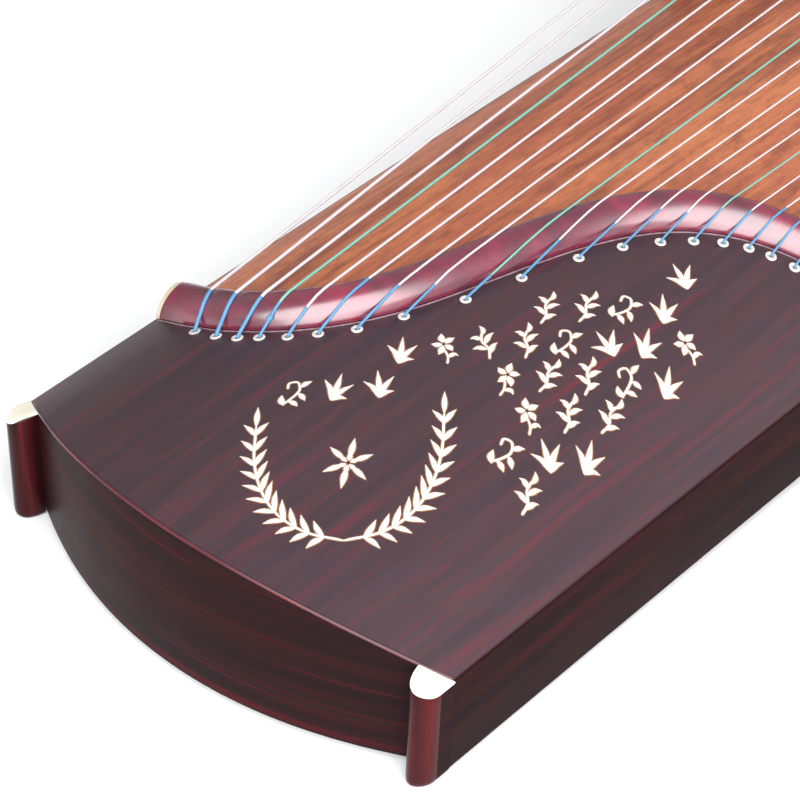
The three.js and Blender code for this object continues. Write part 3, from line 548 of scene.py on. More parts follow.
string_white = cord_material("string_white_nylon", srgb(186, 178, 181), srgb(146, 134, 139), 0.0006)
string_green = cord_material("string_green_nylon", srgb(106, 156, 144), srgb(70, 130, 114), 0.0006)
wrap_blue = cord_material("thread_blue", srgb(72, 122, 156), srgb(42, 88, 126), 0.0010, 0.55, 0.5, 0.0)


def felt_material():
    m = Mat("felt_red", IOR=1.4, Sheen_Weight=0.4, Sheen_Roughness=0.5)
    fuzz = m.noise(m.at((1, 1, 1)), 900.0, 4.0, 0.7)
    soft = m.noise(m.at((1, 1, 1)), 60.0, 3.0, 0.6)
    col = m.mix(m.ramp(fuzz, (0.35, 0.0), (0.65, 1.0)), srgb(84, 18, 24), srgb(124, 35, 40))
    m.color(m.mix(m.ramp(soft, (0.4, 0.0), (0.7, 0.4)), col, srgb(68, 16, 22)))
    m.rough(m.math("ADD", m.math("MULTIPLY", fuzz, 0.1), 0.85))
    m.bump(fuzz, 0.6, 0.0006)
    return m.m


felt = felt_material()


def line_material(name, a, b, rough):
    m = Mat(name, IOR=1.5)
    c = m.noise(m.at((1, 1, 1)), 320.0, 3.0)
    m.color(m.mix(m.ramp(c, (0.4, 0.0), (0.65, 1.0)), a, b))
    m.rough(m.math("ADD", m.math("MULTIPLY", c, 0.15), rough))
    m.bump(c, 0.1, 0.0001)
    return m.m


gold_line = line_material("inlay_gold_edge", srgb(140, 100, 66), srgb(120, 82, 50), 0.3)
pale_line = line_material("pale_stringing", srgb(134, 108, 118), srgb(112, 86, 98), 0.35)


# ------------------------------------------------------------------ plates
def plate_rings(x0, x1, inset, nx, ny, up, dn, taper=(0, 0), y_lo=None):
    """Crowned plate as x-sections carried across y."""
    fs = np.concatenate([np.linspace(0, 1, nx + 1), np.linspace(1, 0, nx + 1)])
    ws = np.concatenate([np.ones(nx + 1), np.zeros(nx + 1)])
    ts = np.linspace(0, 1, ny + 1)
    vs = np.sin((ts - 0.5) * math.pi * 0.8) / math.sin(math.pi * 0.4)
    R = np.zeros((ny + 1, len(fs), 3))
    for k, v in enumerate(vs):
        y = np.full(len(fs), v * 150.0)
        x = np.zeros(len(fs))
        for _ in range(8):
            a = x0(y) + taper[0] * (1 - ws)
            b = x1(y) - taper[1] * (1 - ws)
            x = a + (b - a) * fs
            y = v * (half_w(x) - inset)
        R[k, :, 0], R[k, :, 1] = x, y
        R[k, :, 2] = np.where(ws > 0.5, up(x, y), dn(x, y))
    return R


under = lambda x, y: top_z(x, y) - TOP_T
const = lambda c: (lambda y: np.full(np.shape(y), float(c)))

board = ring_piece("soundboard_top", plate_rings(lambda y: seam_x(y) + GAP, const(BOARD_END_X), LIP + 0.05, 110, 84, top_z, under), board_wood)
put(board, "body", "soundboard_wood", "soundboard")

panel = ring_piece("tail_panel_top", plate_rings(lambda y: tail_x(y) + LIP + 0.05, seam_x, LIP + 0.05, 60, 120, top_z, under), panel_wood)
cut(panel, cylinders([(x, y, float(top_z(x, y)) - 20, float(top_z(x, y)) + 10, 2.0) for x, y in HOLES], 24))
put(panel, "body", "panel_rosewood", "tail_panel")

# ------------------------------------------------------------- rear bridge
along = np.concatenate([[0], np.cumsum(np.hypot(np.diff(FX), np.diff(FY)))])
inside = np.where(np.abs(FY) <= half_w(FX))[0]
lo_i, hi_i = int(inside[0]), int(inside[-1])
SECTION = np.vstack([spline(RIDGE[1:], 4), [[24, 0.8], [23.6, 0.1], [12, 0.4], [0.5, 0.1], [0.1, 0.7]]])


def ridge_rings(a0, a1, n, grow=0.0, sec=SECTION, squeeze=None):
    R = []
    c = sec.mean(0)
    for s in np.linspace(0, 1, n + 1):
        want = a0 + (a1 - a0) * s
        px, py = float(np.interp(want, along, FX)), float(np.interp(want, along, FY))
        nx, ny = float(np.interp(want, along, FN[:, 0])), float(np.interp(want, along, FN[:, 1]))
        end = min(want - along[lo_i], along[hi_i] - want)
        k = min(max(end / 12.0, 0), 1)
        nx, ny = nx * k + (1 - k), ny * k
        l = math.hypot(nx, ny)
        nx, ny = nx / l, ny / l
        q = (sec if squeeze is None else c + (sec - c) * squeeze(s)) * float(ridge_scale(py))
        x, y = px + nx * q[:, 0], py + ny * q[:, 0]
        R.append(np.stack([x, y, top_z(x, y) + 0.4 + q[:, 1] + grow], 1))
    return np.array(R)


CAP = 4.2
ridge = ring_piece("rear_bridge_body", ridge_rings(along[lo_i] + CAP, along[hi_i] - CAP, 260), ridge_wood, 50)
# faces turned to the back of the rear bridge take the darker copy: painted shade on its rear slope
ridge.data.materials.append(ridge_back_painted_shade)
for f in ridge.data.polygons:
    k = int(np.argmin((FX - f.center.x * 1000) ** 2 + (FY - f.center.y * 1000) ** 2))
    if f.normal.x * FN[k, 0] + f.normal.y * FN[k, 1] > 0.45:
        f.material_index = 1
put(ridge, "body", "bridge_rosewood", "rear_bridge")
ease = lambda s: 1 - 0.10 * s ** 6
cap_far = ring_piece("rear_bridge_cap_far", ridge_rings(along[hi_i] - CAP + 0.05, along[hi_i] - 0.05, 10, squeeze=lambda s: 1 - 0.06 * s ** 5), bone, 50)
cap_near = ring_piece("rear_bridge_cap_near", ridge_rings(along[lo_i] + CAP - 0.05, along[lo_i] + 0.05, 10, squeeze=lambda s: 1 - 0.06 * s ** 5), bone, 50)
for c in (cap_far, cap_near):
    put(c, "body", "ivory_inlay")
# pale stringing along the tail-side foot of the rear bridge
sl = np.array([[-0.8, 0.0], [-0.75, 0.5], [-0.45, 0.65], [-0.1, 0.6], [-0.05, 0.0]])
stringing = ring_piece("rear_bridge_stringing", ridge_rings(along[lo_i] + 3, along[hi_i] - 3, 240, -0.5, sl), pale_line, 50)
put(stringing, "body", "ivory_inlay")


def edge_faces(o, red_and_highlight_edge=True):
    """Top of the lip in the panel's wood and the rounded edge in a lighter red, partly the edge's own red wood and
    partly a painted highlight along the rounding, on the tail part only.
    """
    o.data.materials.append(panel_wood)
    o.data.materials.append(edge_red_and_painted_highlight)
    for f in o.data.polygons:
        x, y, z = f.center * 1000
        if x < float(front_x(min(max(y, -160), 160))) + 2 and z > float(top_z(x, y)) - 1.6:
            if f.normal.z > 0.80:
                f.material_index = 1
            # the rounded edge takes the lighter red: partly real red wood, partly painted highlight
            elif red_and_highlight_edge and f.normal.z > 0.12:
                f.material_index = 2


# the bridge lacquer is rubbed matt towards the far end of the rear bridge
for mt in (ridge_wood,):
    nt = mt.node_tree
    tc, sp, mr, mr2 = (nt.nodes.new(k) for k in ("ShaderNodeTexCoord", "ShaderNodeSeparateXYZ", "ShaderNodeMapRange", "ShaderNodeMapRange"))
    nt.links.new(tc.outputs["Object"], sp.inputs[0])
    bs = next(k for k in nt.nodes if k.type == "BSDF_PRINCIPLED")
    for q, out, lo in ((mr, "Coat Weight", 0.05), (mr2, "Specular IOR Level", 0.12)):
        q.inputs["From Min"].default_value, q.inputs["From Max"].default_value = 0.118, 0.148
        q.inputs["To Min"].default_value, q.inputs["To Max"].default_value = bs.inputs[out].default_value, lo
        nt.links.new(sp.outputs["Y"], q.inputs["Value"])
        nt.links.new(q.outputs["Result"], bs.inputs[out])

# ------------------------------------------------------------------- rails
def rounded(poly, r, seg=3):
    """Rounds the corners of a closed 2-D outline; r one value per corner."""
    P = [np.array(p, float) for p in poly]
    n, out = len(P), []
    for i in range(n):
        a, b, c = P[i - 1], P[i], P[(i + 1) % n]
        k = r[i]
        if k <= 0:
            out.append(b)
            continue
        u, v = (a - b) / np.linalg.norm(a - b), (c - b) / np.linalg.norm(c - b)
        p, q = b + u * k, b + v * k
        for j in range(seg + 1):
            t = j / seg
            out.append((1 - t) ** 2 * p + 2 * t * (1 - t) * b + t * t * q)
    return np.array(out)


def rail(name, side, node):
    # (inward distance, height from the lower edge) at each station, since the side's height changes little
    def spot(s_, dd):
        x, y = 0.0, half_w(TAIL_X) - s_
        for _ in range(8):
            x = float(tail_x(min(y, 150.0)) + (head_x(y) - tail_x(min(y, 150.0))) * dd)
            y = float(half_w(x)) - s_
        return x, y

    R = []
    for dd in np.linspace(0, 1, 150):
        x, y = spot(0.0, dd)
        zb, zt, zl = float(side_bottom(x)), float(top_z(x, y)), float(top_z(x, y - LIP))
        zs, zs2 = float(top_z(x, y - RAIL_T)) - TOP_T - SEAT, float(top_z(x, y - LIP)) - TOP_T - SEAT
        sec = rounded([(0, zb), (RAIL_T, zb), (RAIL_T, zs), (LIP, zs2), (LIP, zl), (0, zt)], [1.6, 1.2, 0.6, 0, 0.35, 1.1])
        ring = []
        for s_, z in sec:
            x, y = spot(s_, dd)
            ring.append((x, side * y, z))
        R.append(ring)
    o = ring_piece(name, R, side_wood, 45)
    edge_faces(o, False)
    put(o, "body", "side_rosewood", node)
    return o


rail("side_rail_near_wood", -1, "side_rail_near")
rail("side_rail_far_wood", 1, "side_rail_far")

# --------------------------------------------------------------- end plates
yM = y_end(TAIL_X) - 0.2
R = []
for y in np.linspace(-yM, yM, 121):
    x0 = float(tail_x(y))
    zb = float(back_z(TAIL_X))
    zt, zl = float(top_z(x0, y)), float(top_z(x0 + LIP, y))
    zs, zs2 = float(top_z(x0 + END_T, y)) - TOP_T - SEAT, float(top_z(x0 + LIP, y)) - TOP_T - SEAT
    sec = rounded([(0, zb), (END_T, zb), (END_T, zs), (LIP, zs2), (LIP, zl), (0, zt)], [1.6, 1.2, 0.6, 0, 0.35, 1.1])
    R.append([(x0 + s, y, z) for s, z in sec])
corners = []
for sd in (-1, 1):
    Q = []
    for f in np.linspace(0, 1, 12):
        ring = []
        for s_, w in ((0, 0), (LIP, 0), (LIP, 1), (1.1, 1), (0.33, 0.96), (0, 0.87)):
            y = yM - 0.05 + (half_w(TAIL_X) - LIP - 0.02 - (yM - 0.05)) * f
            x = float(tail_x(y)) + s_
            ring.append((x, sd * y, float(top_z(x, y)) - 8.2 * (1 - w)))
        Q.append(ring)
    corners.append(Q)
tail_plate = ring_piece("tail_end_plate_wood", R, end_wood, 45)
edge_faces(tail_plate)
put(tail_plate, "body", "side_rosewood", "tail_end_plate")
tail_corners = many("tail_end_plate_corners", corners, end_wood, 45)
edge_faces(tail_corners)
put(tail_corners, "body", "side_rosewood")

yH = y_end(HEAD_IN_X) - 0.2
R = []
for y in np.linspace(-yH, yH, 101):
    xo = float(head_x(y))
    zb, zbo = float(back_z(HEAD_IN_X)), float(back_z(xo))
    zt, zi = float(top_z(xo, y)), float(top_z(HEAD_IN_X, y))
    sec = rounded([(HEAD_IN_X, zb), (xo, zbo), (xo, zt), (HEAD_IN_X, zi)], [0.6, 1.6, 1.2, 0.4])
    R.append([(x, y, z) for x, z in sec])
head_plate = ring_piece("head_end_plate_wood", R, end_wood, 45)
zc = float(top_z(786.5, 0))
cut(head_plate, block(780, 790.2, -36, 36, zc - 8, zc + 20))
bevel(head_plate, 0.25, 1, 50)
put(head_plate, "body", "side_rosewood", "head_end_plate")


def flank(name, xa, xb, depth, mat, y_in):
    """Strips over the seats of the rails, one at each side, between two x curves."""
    out = []
    for sd in (-1, 1):
        Q = []
        for f in np.linspace(0, 1, 6):
            ring = []
            for k, w in ((0, 0), (1, 0), (1, 1), (0, 1)):
                x, y = 0.0, 150.0
                for _ in range(8):
                    x = float(xb(y)) if k else float(xa(y))
                    y = y_in(x) + (half_w(x) - LIP - 0.05 - y_in(x)) * f
                ring.append((x, sd * y, float(top_z(x, y)) - (0 if w else depth)))
            Q.append(ring)
        out.append(Q)
    return put(many(name, out, mat, 45), "body", "side_rosewood")


flank("head_end_plate_corners", const(HEAD_IN_X), head_x, 8.2, end_wood, lambda x: yH - 0.05)

# -------------------------------------------------------------------- posts
POST = np.array([[0, 0], [0, 6], [0, 11], [0.6, 13.8], [2, 15.9], [4.5, 17.1], [7.2, 16.9], [9.6, 15.2], [11.8, 12.2], [13.5, 8], [14.7, 3.6], [15.3, 0]])
POST_WIDE = np.array([[0.02 * i if t <= 1.2 else 1.3 * t - 1.5, 1.08 * p] for i, (t, p) in enumerate(POST)])


def post(name, xc, yc, dr, x_at, side, node, outline=POST, wood=None, swell=0.0):
    chord = float(outline[-1, 0])
    sec = spline(outline, 4)
    ys = yc - np.maximum(sec[:, 0], 0)
    xs = x_at(ys) + dr * (np.maximum(sec[:, 1], 0) + 0.04)
    tt = np.linspace(0, 1, 8)[1:-1]
    fy = yc - chord * (1 - tt)
    fx = x_at(fy) + dr * 0.04
    X, Y = np.concatenate([xs, fx]), np.concatenate([ys, fy])
    xm, ym = float(x_at(yc - chord / 2)) + dr * 6, yc - chord / 2
    top = lambda y: top_z(np.full(np.shape(y), float(xc)), y) - 1.5

    def ring(z, shrink, sink=None):
        x, y = xm + (X - xm) * (1 - shrink), ym + (Y - ym) * (1 - shrink)
        zz = top(y) - sink if z is None else np.full(len(x), float(z))
        return np.stack([x, side * y, zz], 1)

    R = [ring(0.05, 0.20), ring(0.25, 0.15), ring(0.8, 0.095), ring(1.7, 0.045), ring(3.0, 0.012), ring(5.0, 0.0)]
    R += [ring(z, 0) for z in np.linspace(12, 56, 8)]
    R += [ring(None, 0, 0.25), ring(None, 0.008, 0.0)]
    o = ring_piece(name, R, wood or post_wood, 50)
    o.data.materials.append(side_wood)
    # the flat flank that continues the side is cut from the dark wood
    for f in o.data.polygons:
        if side * f.normal.y > 0.94 and side * f.center.y * 1000 > yc - 1.2 and abs(f.center.x * 1000 - xc) < 10.2:
            f.material_index = 1
    put(o, "body", "post_rosewood", node)
    Y = Y + swell * np.sin(math.pi * np.clip(np.abs(X - x_at(Y)) / 16.0, 0, 1))
    C = [ring(None, 0.006, 0.0), ring(None, 0.0, -0.25), ring(None, 0.0, -0.95), ring(None, 0.012, -1.3), ring(None, 0.05, -1.5)]
    c = ring_piece(name.replace("column", "cap"), C, cap_bone, 50)
    put(c, "body", "ivory_inlay")
    return o


post("post_tail_near_column", TAIL_X, 150.0, -1, tail_x, -1, "post_tail_near")
# the far tail post takes the darker copy of the post lacquer: painted shade
post("post_tail_far_column", TAIL_X, 150.0, -1, tail_x, 1, "post_tail_far", POST_WIDE, post_wood_painted_shade, 2.6)
post("post_head_near_column", HEAD_X, HEAD_HALF, 1, head_x, -1, "post_head_near")
post("post_head_far_column", HEAD_X, HEAD_HALF, 1, head_x, 1, "post_head_far")

# --------------------------------------------------------------- head block
R = []
S = [[WALL_X0, "b"], [HEAD_IN_X - GAP, "b"], [HEAD_IN_X - GAP, "f"], [WALL_X1, "f"], [WALL_X1, "u"], [STRIP_X1, "u"], [STRIP_X1, "t"], [WALL_X0, "t"]]
NS = []
for k in range(len(S)):
    a, b = S[k], S[(k + 1) % len(S)]
    n = 1 if a[1] != b[1] else max(1, int(abs(b[0] - a[0]) / 9))
    for j in range(n):
        NS.append([a[0] + (b[0] - a[0]) * j / n, a[1]])
for v in np.linspace(-1, 1, 61):
    ring = []
    for x, c in NS:
        y = v * (y_end(x) - 0.2)
        z = back_z(x) + BACK_T + GAP if c == "b" else floor_z(x, y) if c == "f" else top_z(x, y) - 6 if c == "u" else top_z(x, y)
        ring.append((x, y, float(z)))
    R.append(ring)
head_block = ring_piece("head_block_wood", R, head_wood, 45)
cyl = []
for i in range(1, 22):
    y = string_y(i)
    z = float(top_z(HOLE_X, y))
    cyl.append((HOLE_X, y, z - 14, z + 8, 2.4))
    px = PIN_ROWS[i % 3]
    pz = float(floor_z(px, y + 3.4))
    cyl.append((px, y + 3.4, pz - PIN_DOWN - 1, pz + 8, 3.55))
cut(head_block, cylinders(cyl, 20))
bevel(head_block, 0.3, 1, 50)
put(head_block, "body", "head_rosewood", "head_block")
flank("head_strip_ends", const(WALL_X0), const(STRIP_X1), 6.0, head_wood, lambda x: y_end(x) - 0.25)

# ---------------------------------------------------------------------- nut
yN = half_w(635.0) - 4
sec = rounded([[635, 0], [651, 0], [651, 12], [648, 17.5], [645.2, 19.3], [639.6, 19.3], [636, 15], [635, 8]], [0.4, 0.4, 1.6, 1.6, 0.5, 0.5, 1.6, 1.6])
R = [[(x, y, float(top_z(x, y)) + 0.4 + h) for x, h in sec] for y in np.linspace(-yN, yN, 121)]
nut = ring_piece("front_bridge_body", R, ridge_wood, 45)
put(nut, "body", "bridge_rosewood", "front_bridge")
sec = rounded([[640.2, 17.5], [644.6, 17.5], [644.6, 19.9], [640.2, 19.9]], [0, 0, 0.9, 0.9])
R = [[(x, y, float(top_z(x, y)) + 0.4 + h) for x, h in sec] for y in np.linspace(-yN, yN, 121)]
put(ring_piece("front_bridge_bone", R, bone, 45), "body", "ivory_inlay")
parts = []
for s in (-1, 1):
    sec0 = rounded([[635, 0], [651, 0], [651, 12], [648, 17.5], [643.5, 20], [640.5, 20], [636, 15], [635, 8]], [0.4, 0.4, 1.6, 1.6, 1, 1, 1.6, 1.6])
    c = sec0.mean(0)
    parts.append([[(x, s * y, float(top_z(x, y)) + 0.4 + h) for x, h in c + (sec0 - c) * k] for y, k in ((yN - 0.6, 0.97), (yN + 1.6, 0.97), (yN + 2.2, 0.94), (yN + 2.5, 0.86))])
put(many("front_bridge_caps", parts, bone, 45), "body", "ivory_inlay")

# ------------------------------------------------------------ back and brace
NX, NY = 120, 24
fs = np.concatenate([np.linspace(0, 1, NX + 1), np.linspace(1, 0, NX + 1)])
ws = np.concatenate([np.zeros(NX + 1), np.ones(NX + 1)])
R = []
for v in np.linspace(-1, 1, NY + 1):
    x = np.zeros(len(fs))
    for _ in range(8):
        yy = v * (y_end(x) - 0.2)
        a = tail_x(yy) + END_T + GAP
        x = a + (HEAD_IN_X - GAP - a) * fs
    yy = v * (y_end(x) - 0.2)
    R.append(np.stack([x, yy, back_z(x) + ws * BACK_T], 1))
back = ring_piece("back_board_wood", R, back_wood, 45)


def stadium(cx, r, hl, z0, z1, n=24):
    pts = []
    for k in range(n + 1):
        a = -math.pi / 2 + math.pi * k / n
        pts.append((cx + hl + r * math.cos(a), r * math.sin(a)))
    for k in range(n + 1):
        a = math.pi / 2 + math.pi * k / n
        pts.append((cx - hl + r * math.cos(a), r * math.sin(a)))
    return np.array([[(x, y, z0) for x, y in pts], [(x, y, z1) for x, y in pts]])


for cx in (-330, 430):
    cut(back, many("cutter", [stadium(cx, 18, 40, -5, 40)]))
bevel(back, 0.8, 2, 50)
put(back, "body", "back_wood", "back_board")
rims = []
for cx in (-330, 430):
    pts_o, sec = [], [(0.15, -0.5), (3.2, -0.5), (3.2, -0.05), (2.4, 0.35), (0.15, 0.35)]
    ring = stadium(cx, 18, 40, 0, 0)[0]
    c = np.array([cx, 0.0])
    M = []
    n = len(ring)
    for k in range(n):
        p, a, b = ring[k][:2], ring[k - 1][:2], ring[(k + 1) % n][:2]
        q = min(max(p[0], cx - 40), cx + 40)
        out = np.array([p[0] - q, p[1]])
        out /= np.linalg.norm(out)
        M.append([(p[0] + out[0] * s, p[1] + out[1] * s, float(back_z(p[0])) - h) for s, h in sec])
    rims.append(np.array(M))
put(torus_like("sound_hole_rims", rims, panel_wood, 45), "body", "side_rosewood")

for node, mat in (("sound_brace", brace_wood),):
    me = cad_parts[node].data
    me.materials.clear()
    me.materials.append(mat)

# ---------------------------------------------------------------------- lid
hx, hz = 786.5, float(top_z(786.5, 0)) - 0.2
lid = ring_piece("tuning_box_lid_wood", plate_rings(const(LID_X0), const(LID_X1), 4.3, 26, 70, top_z, under, (4.4, 0)), head_wood)
cut(lid, block(782.6, 800, -36, 36, hz - 30, hz + 20))
bevel(lid, 0.6, 2, 35)
put(lid, "lid", "head_rosewood", "tuning_box_lid")

parts = [[(hx + r * math.cos(2 * math.pi * k / 24), t, hz + r * math.sin(2 * math.pi * k / 24)) for k in range(24)]
         for r, t in [(1.2, -34.0), (2.0, -33.8), (2.4, -33.3)] + [(2.4, t) for t in (-20, 0, 20)] + [(2.4, 33.3), (2.0, 33.8), (1.2, 34.0)]]
put(ring_piece("lid_hinge_pin", parts, brass, 40), "body", "hinge_brass", "lid_hinge_rod")


def knuckle(y0, y1, r=3.3):
    return [[(hx + rr * math.cos(2 * math.pi * k / 28), t, hz + rr * math.sin(2 * math.pi * k / 28)) for k in range(28)]
            for rr, t in ((r - 0.35, y0), (r, y0 + 0.35), (r, y1 - 0.35), (r - 0.35, y1))]


edges = np.linspace(-33.0, 33.0, 6)
lid_k = [knuckle(edges[k] + 0.25, edges[k + 1] - 0.25) for k in (1, 3)]
body_k = [knuckle(edges[k] + 0.25, edges[k + 1] - 0.25) for k in (0, 2, 4)]


def leaf_plate(x0, x1, y0, y1, lift, thick):
    """Thin plate bent to the crown, with round corners."""
    o = rounded([[x0, y0], [x1, y0], [x1, y1], [x0, y1]], [2.0] * 4, 4)
    R = []
    for z, k in ((0.0, 1.0), (thick - 0.2, 1.0), (thick, 0.985)):
        c = o.mean(0)
        q = c + (o - c) * k
        R.append([(x, y, float(top_z(x, y)) + lift + z) for x, y in q])
    return R


def screw(x, y, lift):
    R = []
    for r, z in ((2.1, 0.0), (2.1, 0.25), (1.7, 0.55), (0.9, 0.75), (0.3, 0.8)):
        R.append([(x + r * math.cos(2 * math.pi * k / 20), y + r * math.sin(2 * math.pi * k / 20), float(top_z(x, y)) + lift + z) for k in range(20)])
    return R


put(many("lid_hinge_leaf_lid", lid_k + [leaf_plate(768.0, 783.4, edges[k] + 0.3, edges[k + 1] - 0.3, 0.02, 0.8) for k in (1, 3)]
         + [leaf_plate(768.0, 776.0, -33, 33, 0.02, 0.8)] + [screw(771.5, y, 0.8) for y in (-27, 0, 27)], brass, 40), "lid", "hinge_brass")
put(many("lid_hinge_leaf_end", body_k + [leaf_plate(789.4, 803.0, edges[k] + 0.3, edges[k + 1] - 0.3, 0.02, 0.8) for k in (0, 2, 4)]
         + [leaf_plate(795.5, 803.0, -33, 33, 0.02, 0.8)] + [screw(799.4, y, 0.8) for y in (-27, 0, 27)], brass, 40), "body", "hinge_brass")

# ---------------------------------------------------------- movable bridges
BRIDGES = []
for i in range(21, 0, -1):
    n = 21 - i
    x, y, h = -180.0 + 34 * n - BASS_BACK[n], float(BRIDGE_Y[n]), 58 - 0.5 * n + BASS_TALL[n]
    w = 0.35 * h
    zc = float(top_z(x, y))
    BRIDGES.append((i, x, y, h, zc + h))
    slope = -2 * ARCH * (x - ARCH_C) / ARCH_H ** 2
    half = [[w, 0], [w, 5], [w * 0.86, 10], [w * 0.60, h * 0.42], [w * 0.40, h * 0.60], [w * 0.24, h * 0.80], [w * 0.17, h - 3.0]]
    arch = [[-w * 0.5, 0], [-w * 0.46, h * 0.14], [-w * 0.26, h * 0.27], [0, h * 0.32], [w * 0.26, h * 0.27], [w * 0.46, h * 0.14], [w * 0.5, 0]]
    r_ = spline(half[1:], 4)
    a_ = spline(arch, 4)
    out = np.vstack([[[w - 0.8, 0.0], [w, 0.9]], r_, [[-p[0], p[1]] for p in r_[::-1]], [[-w, 0.9], [-w + 0.8, 0.0]], a_])

    def station(dx, k=1.0, pts=out):
        ring = []
        for a, b in pts:
            t = 6.5 + (1.8 - 6.5) * min(b / h, 1)
            xx, yy = x + dx * t, y + a * k
            f = max(0.0, 1 - b / (h * 0.6))
            z = zc + 0.45 + b * (1 - (1 - k) * 0.5) + f * (float(top_z(x, yy)) - zc) + slope * (xx - x)
            ring.append((xx, yy, z))
        return ring

    o = ring_piece(f"bridge_{i:02d}_wood", [station(-1.0, 0.955), station(-0.93, 0.985), station(-0.8), station(0.8), station(0.93, 0.985), station(1.0, 0.955)], bridge_dark, 50)
    put(o, f"bridge_{i:02d}", "movable_bridge_wood", f"bridge_{i:02d}")
    # bone saddle on the head, with a notch for the string
    sad = [[-w * 0.17 - 0.1, h - 3.2], [w * 0.17 + 0.1, h - 3.2], [w * 0.15, h - 1.2], [2.2, h - 0.25], [0.9, h], [0.45, h - 0.1], [-0.45, h - 0.1], [-0.9, h], [-2.2, h - 0.25], [-w * 0.15, h - 1.2]]
    R = []
    for dx, k in ((-1.0, 0.9), (-0.8, 1.0), (0.8, 1.0), (1.0, 0.9)):
        ring = []
        for a, b in sad:
            t = 6.5 + (1.8 - 6.5) * min(b / h, 1) + 0.12
            xx = x + dx * t
            ring.append((xx, y + a * k, zc + b + 0.05 * 0 + slope * (xx - x) - (1 - k) * 2.5 * (1 if b > h - 2 else 0)))
        R.append(ring)
    o = ring_piece(f"bridge_{i:02d}_saddle", R, bone, 50)
    put(o, f"bridge_{i:02d}", "ivory_inlay")

# -------------------------------------------------------------- tuning pins
DIAMETER = {21: 2.0, 20: 2.0, 19: 1.9, 18: 1.6, 17: 1.55, 16: 1.45, 15: 1.35, 14: 1.3, 13: 1.25, 12: 1.2, 11: 1.15, 10: 1.1,
            9: 1.05, 8: 1.05, 7: 1.0, 6: 1.0, 5: 0.95, 4: 0.95, 3: 0.9, 2: 0.9, 1: 0.85}
string_r = lambda i: 0.5 * DIAMETER[i]
for i in range(21, 0, -1):
    y = string_y(i)
    px, py = float(PIN_ROWS[i % 3]), y + 3.4
    z = float(floor_z(px, py))
    R = []
    rot = 0.35 * i
    for r, h in ((2.2, -17.0), (3.0, -16.0), (3.0, 5.4), (2.85, 5.6), (2.85, 12.0), (3.0, 12.3), (3.0, 16.2), (2.7, 17.0)):
        R.append([(px + r * math.cos(2 * math.pi * k / 24), py + r * math.sin(2 * math.pi * k / 24), z + h) for k in range(24)])
    P = [R]
    R = []
    for s, h in ((1.0, 14.0), (1.0, 24.2), (0.86, 24.9), (0.6, 25.0)):
        sq = rounded([[-1.9, -1.9], [1.9, -1.9], [1.9, 1.9], [-1.9, 1.9]], [0.45] * 4, 3) * s
        R.append([(px + a, py + b, z + h) for a, b in sq])
    P.append(R)
    o = many(f"tuning_pin_{i:02d}_steel", P, steel, 40)
    put(o, f"tuning_pin_{i:02d}", "pin_steel", f"tuning_pin_{i:02d}")
    # the string's last turns round the pin
    r = string_r(i)
    turns, n = 3.2, 76
    path = []
    for k in range(n + 1):
        a = math.pi * 1.5 - 2 * math.pi * turns * k / n
        path.append((px + (2.85 + r) * math.cos(a), py + (2.85 + r) * math.sin(a), z + 9.2 + r - k / n * turns * (2 * r + 0.05) + 1.6))
    mat = string_green if i in (3, 8, 13, 18) else string_white
    o = ring_piece(f"string_{i:02d}_coil", tube(path, r, 8), mat, 60)
    put(o, f"tuning_pin_{i:02d}", "string_green" if mat is string_green else "string")


# ------------------------------------------------------------------ strings
def taut(pts):
    out = []
    for p in pts:
        while len(out) >= 2 and (out[-1][1] - out[-2][1]) * (p[0] - out[-2][0]) <= (p[1] - out[-2][1]) * (out[-1][0] - out[-2][0]):
            out.pop()
        out.append(p)
    return out


def soften(P, reach, per=4):
    """Rounds the corners of a polyline."""
    P = [np.array(p, float) for p in P]
    out = [P[0]]
    for k in range(1, len(P) - 1):
        a, b, c = P[k - 1], P[k], P[k + 1]
        u, v = a - b, c - b
        lu, lv = np.linalg.norm(u), np.linalg.norm(v)
        r = min(reach, lu * 0.45, lv * 0.45)
        p, q = b + u / lu * r, b + v / lv * r
        for j in range(per + 1):
            t = j / per
            out.append((1 - t) ** 2 * p + 2 * t * (1 - t) * b + t * t * q)
    out.append(P[-1])
    return np.array(out)


def resample(P, start, stop, step):
    """Points of a polyline between two arc lengths, its corners kept."""
    s = np.concatenate([[0], np.cumsum(np.linalg.norm(np.diff(P, axis=0), axis=1))])
    keep = sorted(set([start, stop] + [v for v in s if start < v < stop] + list(np.arange(start, stop, step))))
    out = [keep[0]]
    for v in keep[1:]:
        if v - out[-1] > 1e-3:
            out.append(v)
    return np.stack([np.interp(out, s, P[:, k]) for k in range(3)], 1), np.array(out)


